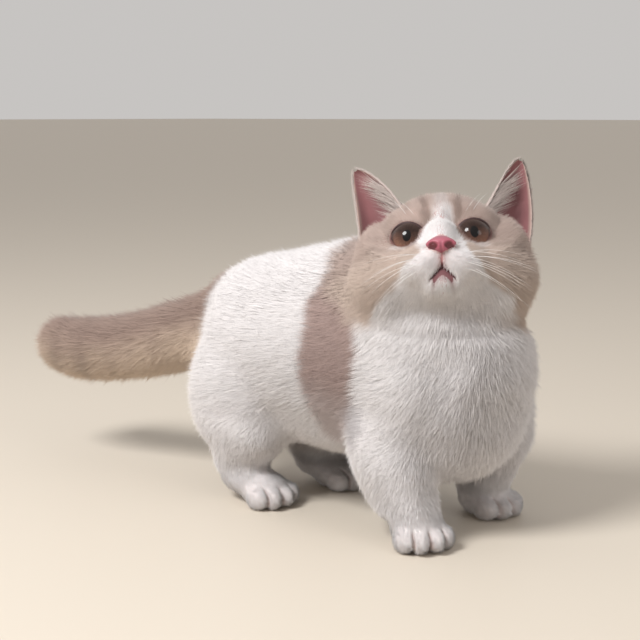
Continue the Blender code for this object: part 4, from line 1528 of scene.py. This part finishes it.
@dataclass
class Whiskers:
    """The white whiskers of the muzzle and the few over each eye."""

    rows: tuple = (-9.5, -12.0, -14.5, -17.0)
    first: float = 9.0
    step: float = 2.6
    radius: float = 0.09
    longest: float = 38.0
    widest: float = 61.5
    sink: float = 0.6
    tone: tuple = (0.78, 0.76, 0.75)
    seed: int = 5

    def build(self, tree: BVHTree) -> bpy.types.Object:
        """All the whiskers in one mesh."""
        bm = bmesh.new()
        draw = np.random.default_rng(self.seed)
        for side in SIDES.values():
            for row, height in enumerate(self.rows):
                for column in range(3 if row in (1, 2) else 2):
                    x = self.first + self.step * column + 0.6 * row
                    length = self.longest * draw.uniform(0.62, 1.0) * (0.8 + 0.1 * column)
                    rise = -0.10 - 0.20 * row + draw.normal(0, 0.05)
                    self.one(bm, tree, side, (x, height + 0.4 * column), length, rise, draw)
            for column in range(2):
                x, z = 11.0 + 3.4 * column, 14.5 + 0.8 * column
                self.one(bm, tree, side, (x, z), 17 * draw.uniform(0.7, 1), 1.5, draw)
        mesh = from_bmesh(bm, "whiskers")
        colour_layer(mesh, np.tile(self.tone, (len(mesh.vertices), 1)))
        return placed("whiskers", mesh, mesh_points(mesh))

    def one(self, bm: bmesh.types.BMesh, tree: BVHTree, side: int, spot: tuple, length: float, rise: float,
            draw: np.random.Generator) -> None:
        """Adds one whisker.

        Args:
            bm: The mesh to add to.
            tree: The skin that it grows from.
            side: 1 on the left and -1 on the right.
            spot: Where it grows, across and up the face.
            length: How long it is.
            rise: How steeply it leaves the face.
            draw: The source of the variation.
        """
        before = rows_out(HEAD_AXES, np.array([[side * spot[0], -80.0, spot[1]]]))[0]
        root = np.array(tree.ray_cast(Vector(before), Vector(HEAD_BACK))[0]) + HEAD_BACK * self.sink
        start = HEAD_TURN @ np.array((side * 0.95, -0.45 + draw.normal(0, 0.08), rise))
        start /= np.linalg.norm(start)
        droop = HEAD_TURN @ np.array((side * 0.05, 0.55, -0.30))
        past = abs((start + 0.5 * droop)[0]) * length
        length *= min(1.0, (self.widest - abs(root[0])) / past)
        share = np.linspace(0, 1, 12)[:, None]
        spots = root + length * (start * share + 0.5 * droop * share ** 2)
        sweep(bm, spots, self.radius * (1 - 0.85 * share[:, 0]), 5)


class Wiring:
    """Adds nodes to a tree and joins them."""

    def __init__(self, tree: bpy.types.NodeTree) -> None:
        """Keeps the tree."""
        self.tree = tree

    def node(self, kind: str, inputs: dict, **settings: object) -> bpy.types.Node:
        """Adds a shader node.

        Args:
            kind: Its type, without the leading ShaderNode.
            inputs: A value or another node's output for each input.
            settings: Its other settings.

        Returns:
            The node.
        """
        made = self.tree.nodes.new(f"ShaderNode{kind}")
        for name, value in settings.items():
            setattr(made, name, value)
        self.feed(made, inputs)
        return made

    def feed(self, node: bpy.types.Node, inputs: dict) -> None:
        """Sets each input to its value or links it to its socket."""
        for name, value in inputs.items():
            if isinstance(value, bpy.types.NodeSocket):
                self.tree.links.new(value, node.inputs[name])
            else:
                node.inputs[name].default_value = value

    def math(self, operation: str, *values: object) -> bpy.types.NodeSocket:
        """The result of one Math node."""
        return self.node("Math", dict(enumerate(values)), operation=operation).outputs[0]

    def multiply(self, tone: bpy.types.NodeSocket, other: bpy.types.NodeSocket) -> bpy.types.NodeSocket:
        """Two colours multiplied."""
        return self.node("Mix", {0: 1.0, 6: tone, 7: other}, data_type="RGBA", blend_type="MULTIPLY").outputs[2]


def started(name: str) -> tuple[bpy.types.Material, Wiring, bpy.types.Node]:
    """A new material, its wiring and its principled shader."""
    made = bpy.data.materials.new(name)
    made.use_nodes = True
    return made, Wiring(made.node_tree), made.node_tree.nodes["Principled BSDF"]


def grain_group() -> bpy.types.NodeTree:
    """The fine grain that coat, skin and leather share: it varies the roughness and bends the normal."""
    made = bpy.data.node_groups.get("fine_grain")
    if made:
        return made
    made = bpy.data.node_groups.new("fine_grain", "ShaderNodeTree")
    for name, way in (("Scale", "INPUT"), ("Relief", "INPUT"), ("Roughness", "INPUT"), ("Roughness", "OUTPUT")):
        made.interface.new_socket(name=name, in_out=way, socket_type="NodeSocketFloat")
    made.interface.new_socket(name="Normal", in_out="OUTPUT", socket_type="NodeSocketVector")
    wires = Wiring(made)
    given, result = made.nodes.new("NodeGroupInput").outputs, made.nodes.new("NodeGroupOutput")
    place = wires.node("TexCoord", {}).outputs["Object"]
    noise = wires.node("TexNoise", {"Vector": place, "Scale": given["Scale"], "Detail": 3}).outputs["Fac"]
    span = {"Value": noise, "From Min": 0.3, "From Max": 0.7, "To Min": -0.1, "To Max": 0.1}
    spread = wires.node("MapRange", span)
    bump = wires.node("Bump", {"Height": noise, "Strength": given["Relief"], "Distance": 0.0002})
    total = wires.math("ADD", spread.outputs["Result"], given["Roughness"])
    wires.feed(result, {"Roughness": total, "Normal": bump.outputs["Normal"]})
    return made


def toned(name: str, scale: float, relief: float,
          roughness: float) -> tuple[bpy.types.Material, Wiring, bpy.types.Node]:
    """Starts a finish with the colour that is stored on the mesh and the shared grain.

    Args:
        name: The material's name.
        scale: How fine the grain is.
        relief: How strongly it bends the normal, from 0 to 1.
        roughness: The roughness that it varies about.

    Returns:
        The material, its wiring and its principled shader.
    """
    made, wires, shader = started(name)
    tone = wires.node("VertexColor", {}, layer_name="tone")
    grain = wires.node("Group", {}, node_tree=grain_group())
    wires.feed(grain, {"Scale": scale, "Relief": relief, "Roughness": roughness})
    wires.feed(shader, {"Base Color": tone.outputs["Color"], "Roughness": grain.outputs["Roughness"],
                        "Normal": grain.outputs["Normal"]})
    return made, wires, shader


@dataclass(frozen=True)
class FurFinish:
    """Soft short hair."""

    name: str
    roughness: float = 0.72
    sheen: float = 0.25
    relief: float = 0.12
    grain: float = 900

    def material(self) -> bpy.types.Material:
        """Builds the finish."""
        made, wires, shader = toned(self.name, self.grain, self.relief, self.roughness)
        wires.feed(shader, {"Specular IOR Level": 0.25, "Sheen Weight": self.sheen, "Sheen Roughness": 0.5})
        return made


@dataclass(frozen=True)
class MoistFinish:
    """Bare skin with a thin wet film: lids and nose leather."""

    name: str
    roughness: float
    film: float
    pores: float = 0.0
    relief: float = 0.15
    grain: float = 1400
    pore_scale: float = 1600

    def material(self) -> bpy.types.Material:
        """Builds the finish."""
        made, wires, shader = toned(self.name, self.grain, self.relief, self.roughness)
        wires.feed(shader, {"Coat Weight": self.film, "Coat Roughness": 0.25})
        if self.pores:
            place = wires.node("TexCoord", {}).outputs["Object"]
            cells = wires.node("TexVoronoi", {"Vector": place, "Scale": self.pore_scale}).outputs["Distance"]
            under = shader.inputs["Normal"].links[0].from_socket
            bump = {"Strength": self.pores, "Distance": 0.0002, "Height": cells, "Normal": under}
            wires.feed(shader, {"Normal": wires.node("Bump", bump).outputs["Normal"]})
        return made


@dataclass(frozen=True)
class EyeFinish:
    """A hazel iris with fine spokes, an upright oval pupil and a wet cornea, drawn in the eye's own map, with the
    lid's shadow painted over its top, painted light below and painted shade on the white round it.
    """

    name: str = "hazel_eye"
    pupil: tuple = (0.19, 0.27)
    pupil_tone: tuple = (0.004, 0.003, 0.003)
    # the stop at 0.73 is the iris's own dark rim; from 0.80 out the white of the eye is painted near black as shade
    stops: tuple = (
        (0.0, (0.05, 0.030, 0.024)), (0.30, (0.085, 0.050, 0.038)), (0.50, (0.125, 0.076, 0.058)),
        (0.64, (0.15, 0.09, 0.07)), (0.73, (0.075, 0.036, 0.030)), (0.80, (0.028, 0.011, 0.010)),
        (1.0, (0.035, 0.015, 0.013)),
    )
    # painted shadow of the upper lid over the iris's top, and painted light below
    lid_shadow_stops: tuple = ((0.24, (1.6, 1.3, 1.2)), (0.62, (0.24, 0.19, 0.18)))

    def material(self) -> bpy.types.Material:
        """Builds the finish."""
        made, wires, shader = started(self.name)
        spot = wires.node("UVMap", {}, uv_map="gaze").outputs["UV"]
        split = wires.node("SeparateXYZ", {"Vector": spot}).outputs
        across, up = (wires.math("MULTIPLY_ADD", split[name], 2.0, -1.0) for name in ("X", "Y"))
        out = self.distance(wires, across, up, 1.0, 1.0)
        tone = wires.multiply(self.ramp(wires, self.stops, out), self.spokes(wires, across, up, out))
        # painted shadow of the lid at the top, painted light at the bottom
        height = wires.math("MULTIPLY_ADD", up, 0.5, 0.5)
        tone = wires.multiply(tone, self.ramp(wires, self.lid_shadow_stops, height))
        hole = self.distance(wires, across, up, *self.pupil)
        edge = wires.node("MapRange", {"Value": hole, "From Min": 0.86, "From Max": 1.08},
                          interpolation_type="SMOOTHSTEP").outputs["Result"]
        final = wires.node("Mix", {0: edge, 6: (*self.pupil_tone, 1), 7: tone}, data_type="RGBA").outputs[2]
        wires.feed(shader, {"Base Color": final, "Roughness": 0.5, "Specular IOR Level": 0.05, "Coat Weight": 1.0,
                            "Coat Roughness": 0.03, "Coat IOR": 1.34})
        return made

    @staticmethod
    def ramp(wires: Wiring, stops: tuple, share: bpy.types.NodeSocket) -> bpy.types.NodeSocket:
        """A colour that changes with a share, from stop to stop."""
        node = wires.node("ValToRGB", {"Fac": share})
        elements = node.color_ramp.elements
        while len(elements) < len(stops):
            elements.new(0.5)
        for element, (place, colour) in zip(elements, stops):
            element.position, element.color = place, (*colour, 1)
        return node.outputs["Color"]

    @staticmethod
    def distance(wires: Wiring, across: bpy.types.NodeSocket, up: bpy.types.NodeSocket, wide: float,
                 high: float) -> bpy.types.NodeSocket:
        """The distance from the pupil's middle, each way counted in its own unit."""
        scaled = [wires.math("DIVIDE", value, size) for value, size in ((across, wide), (up, high))]
        return wires.math("SQRT", wires.math("ADD", *(wires.math("MULTIPLY", value, value) for value in scaled)))

    @staticmethod
    def spokes(wires: Wiring, across: bpy.types.NodeSocket, up: bpy.types.NodeSocket,
               out: bpy.types.NodeSocket) -> bpy.types.NodeSocket:
        """Fine light and dark spokes that run out from the pupil."""
        angle = wires.math("ARCTAN2", up, across)
        place = {"X": wires.math("MULTIPLY", angle, 7.0), "Y": wires.math("MULTIPLY", out, 2.2)}
        joined = wires.node("CombineXYZ", place).outputs["Vector"]
        noise = wires.node("TexNoise", {"Scale": 1.6, "Detail": 5, "Vector": joined}).outputs["Fac"]
        light = {"Value": noise, "From Min": 0.3, "From Max": 0.7, "To Min": 0.7, "To Max": 1.35}
        return wires.node("MapRange", light).outputs["Result"]


@dataclass(frozen=True)
class Studio:
    """The floor, light and camera."""

    lens: float = 73.125
    sensor: float = 36.0
    stand: tuple = (-501.1, -385.0, 196.0)
    look_down: float = math.radians(9)
    look_turn: float = math.radians(-50)
    floor_tone: tuple = (0.66, 0.59, 0.50)
    floor_size: float = 40.0
    room_tone: tuple = (1.0, 0.97, 0.945)
    room_strength: float = 0.57
    aim: Vector = Vector((0, -0.03, 0.08))
    lamps: tuple = (("key", (-0.92, 0.08, 1.04), 0.5, 18.0), ("fill", (-0.1, -1.3, 0.7), 0.6, 2.2))

    def build(self) -> None:
        """Sets up the camera, the lights and the floor."""
        self.camera()
        self.floor()
        self.lights()

    def camera(self) -> None:
        """The photo's view: from the kitten's front right, a little above it."""
        data = bpy.data.cameras.new("camera")
        data.lens, data.sensor_width = self.lens, self.sensor
        obj = new_object("camera", data)
        obj.location = PLACE.outward(np.array([self.stand]))[0]
        obj.rotation_euler = (math.radians(90) - self.look_down, 0, self.look_turn)
        bpy.context.scene.camera = obj

    def floor(self) -> None:
        """A plain pale floor that runs far back."""
        bm = bmesh.new()
        bmesh.ops.create_grid(bm, x_segments=1, y_segments=1, size=self.floor_size)
        mesh = from_bmesh(bm, "floor")
        obj = new_object("floor", mesh)
        made, wires, shader = started("pale_floor")
        wires.feed(shader, {"Base Color": (*self.floor_tone, 1), "Roughness": 0.55})
        mesh.materials.append(made)

    def lights(self) -> None:
        """Soft light from the upper left of the view, a weaker fill and a bright room."""
        world = bpy.data.worlds.new("room")
        bpy.context.scene.world = world
        world.use_nodes = True
        sky = world.node_tree.nodes["Background"].inputs
        sky["Color"].default_value, sky["Strength"].default_value = (*self.room_tone, 1), self.room_strength
        for name, spot, size, power in self.lamps:
            light = bpy.data.lights.new(name, "AREA")
            light.shape, light.size, light.energy = "DISK", size, power
            obj = new_object(name, light)
            obj.location = spot
            obj.rotation_euler = (self.aim - Vector(spot)).to_track_quat("-Z", "Y").to_euler()
        bpy.context.scene.view_settings.view_transform = "Standard"


def dress_skin(skin: bpy.types.Object) -> None:
    """Colours the skin with the coat's markings and with painted shade in the toe creases and round the mouth, and
    lays out its flat map.
    """
    mesh = skin.data
    points = mesh_points(mesh)
    tones = MARKINGS.tone(points) * np.array([0.95, 0.90, 0.89])
    # painted shade in the creases between the toes
    tones = mix(tones, TOE_GAPS.tone, 0.8 * TOE_GAPS.share(points))
    x, y, z = rows_in(HEAD_AXES, points).T
    under_nose = (y < -24) & NOSE.covers(x, z, -1.6)
    tones = mix(tones, NOSE.edge, 0.8 * under_nose)
    tones = mix(tones, Eye.corner, 0.9 * eye_edge(points, 1.3))
    # the mouth's colours, with painted shade on the lip and in the groove
    colour_layer(mesh, MOUTH.paint(points, tones))
    bake_map(mesh, UNWRAP.place(points)[corner_vertices(mesh)])
    mesh.shade_smooth()
    put_points(mesh, PLACE.outward(points))


def add(piece: bpy.types.Object, finish: bpy.types.Material, slot: str, *nodes: str) -> None:
    """Finishes a piece: its material, its body and the nodes that it stands for."""
    piece.data.materials.clear()
    piece.data.materials.append(finish)
    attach(piece, "root")
    if nodes:
        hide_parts(*nodes)
    LOG.info("%s: %d vertices", piece.name, len(piece.data.vertices))


def main() -> None:
    """Builds the kitten's looks, part by part."""
    logging.basicConfig(level=logging.INFO, format="%(name)s: %(message)s")
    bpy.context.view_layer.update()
    fur = FurFinish("fur").material()
    bare = FurFinish("ear_bare", roughness=0.55, sheen=0.1).material()
    moist = MoistFinish("dark_lid", roughness=0.6, film=0.08).material()
    leather = MoistFinish("pink_leather", roughness=0.5, film=0.25, pores=0.5).material()
    gaze = EyeFinish().material()
    flesh = Skin()
    skin = flesh.build()
    spots = [Vector(spot) for spot in mesh_points(skin.data)]
    tree = BVHTree.FromPolygons(spots, triangles_of(skin.data).tolist())
    whiskers = Whiskers().build(tree)
    pieces = Coat(skin).build()
    dress_skin(skin)
    add(skin, fur, "white_coat", *flesh.nodes)
    fawn = ("coat_crown", "coat_tail", "coat_cheeks")
    for piece in pieces:
        add(piece, fur, "fawn_coat" if piece.name in fawn else "white_coat")
    for name, side in SIDES.items():
        ear, eye = Ear(side), Eye(side)
        add(ear.build(), bare, "ear_skin", f"ear_{name}")
        hair = Tufts(bent=False).mesh("ear_hair", ear.roots())
        add(new_object(sided("coat_ear", side), hair), fur, "ear_skin")
        add(eye.ball(), gaze, "eye", f"eye_{name}")
        add(eye.lids(), moist, "eye")
    add(NOSE.build(), leather, "nose_leather", "nose")
    add(whiskers, fur, "white_coat")
    Studio().build()


if __name__ == "__main__":
    main()
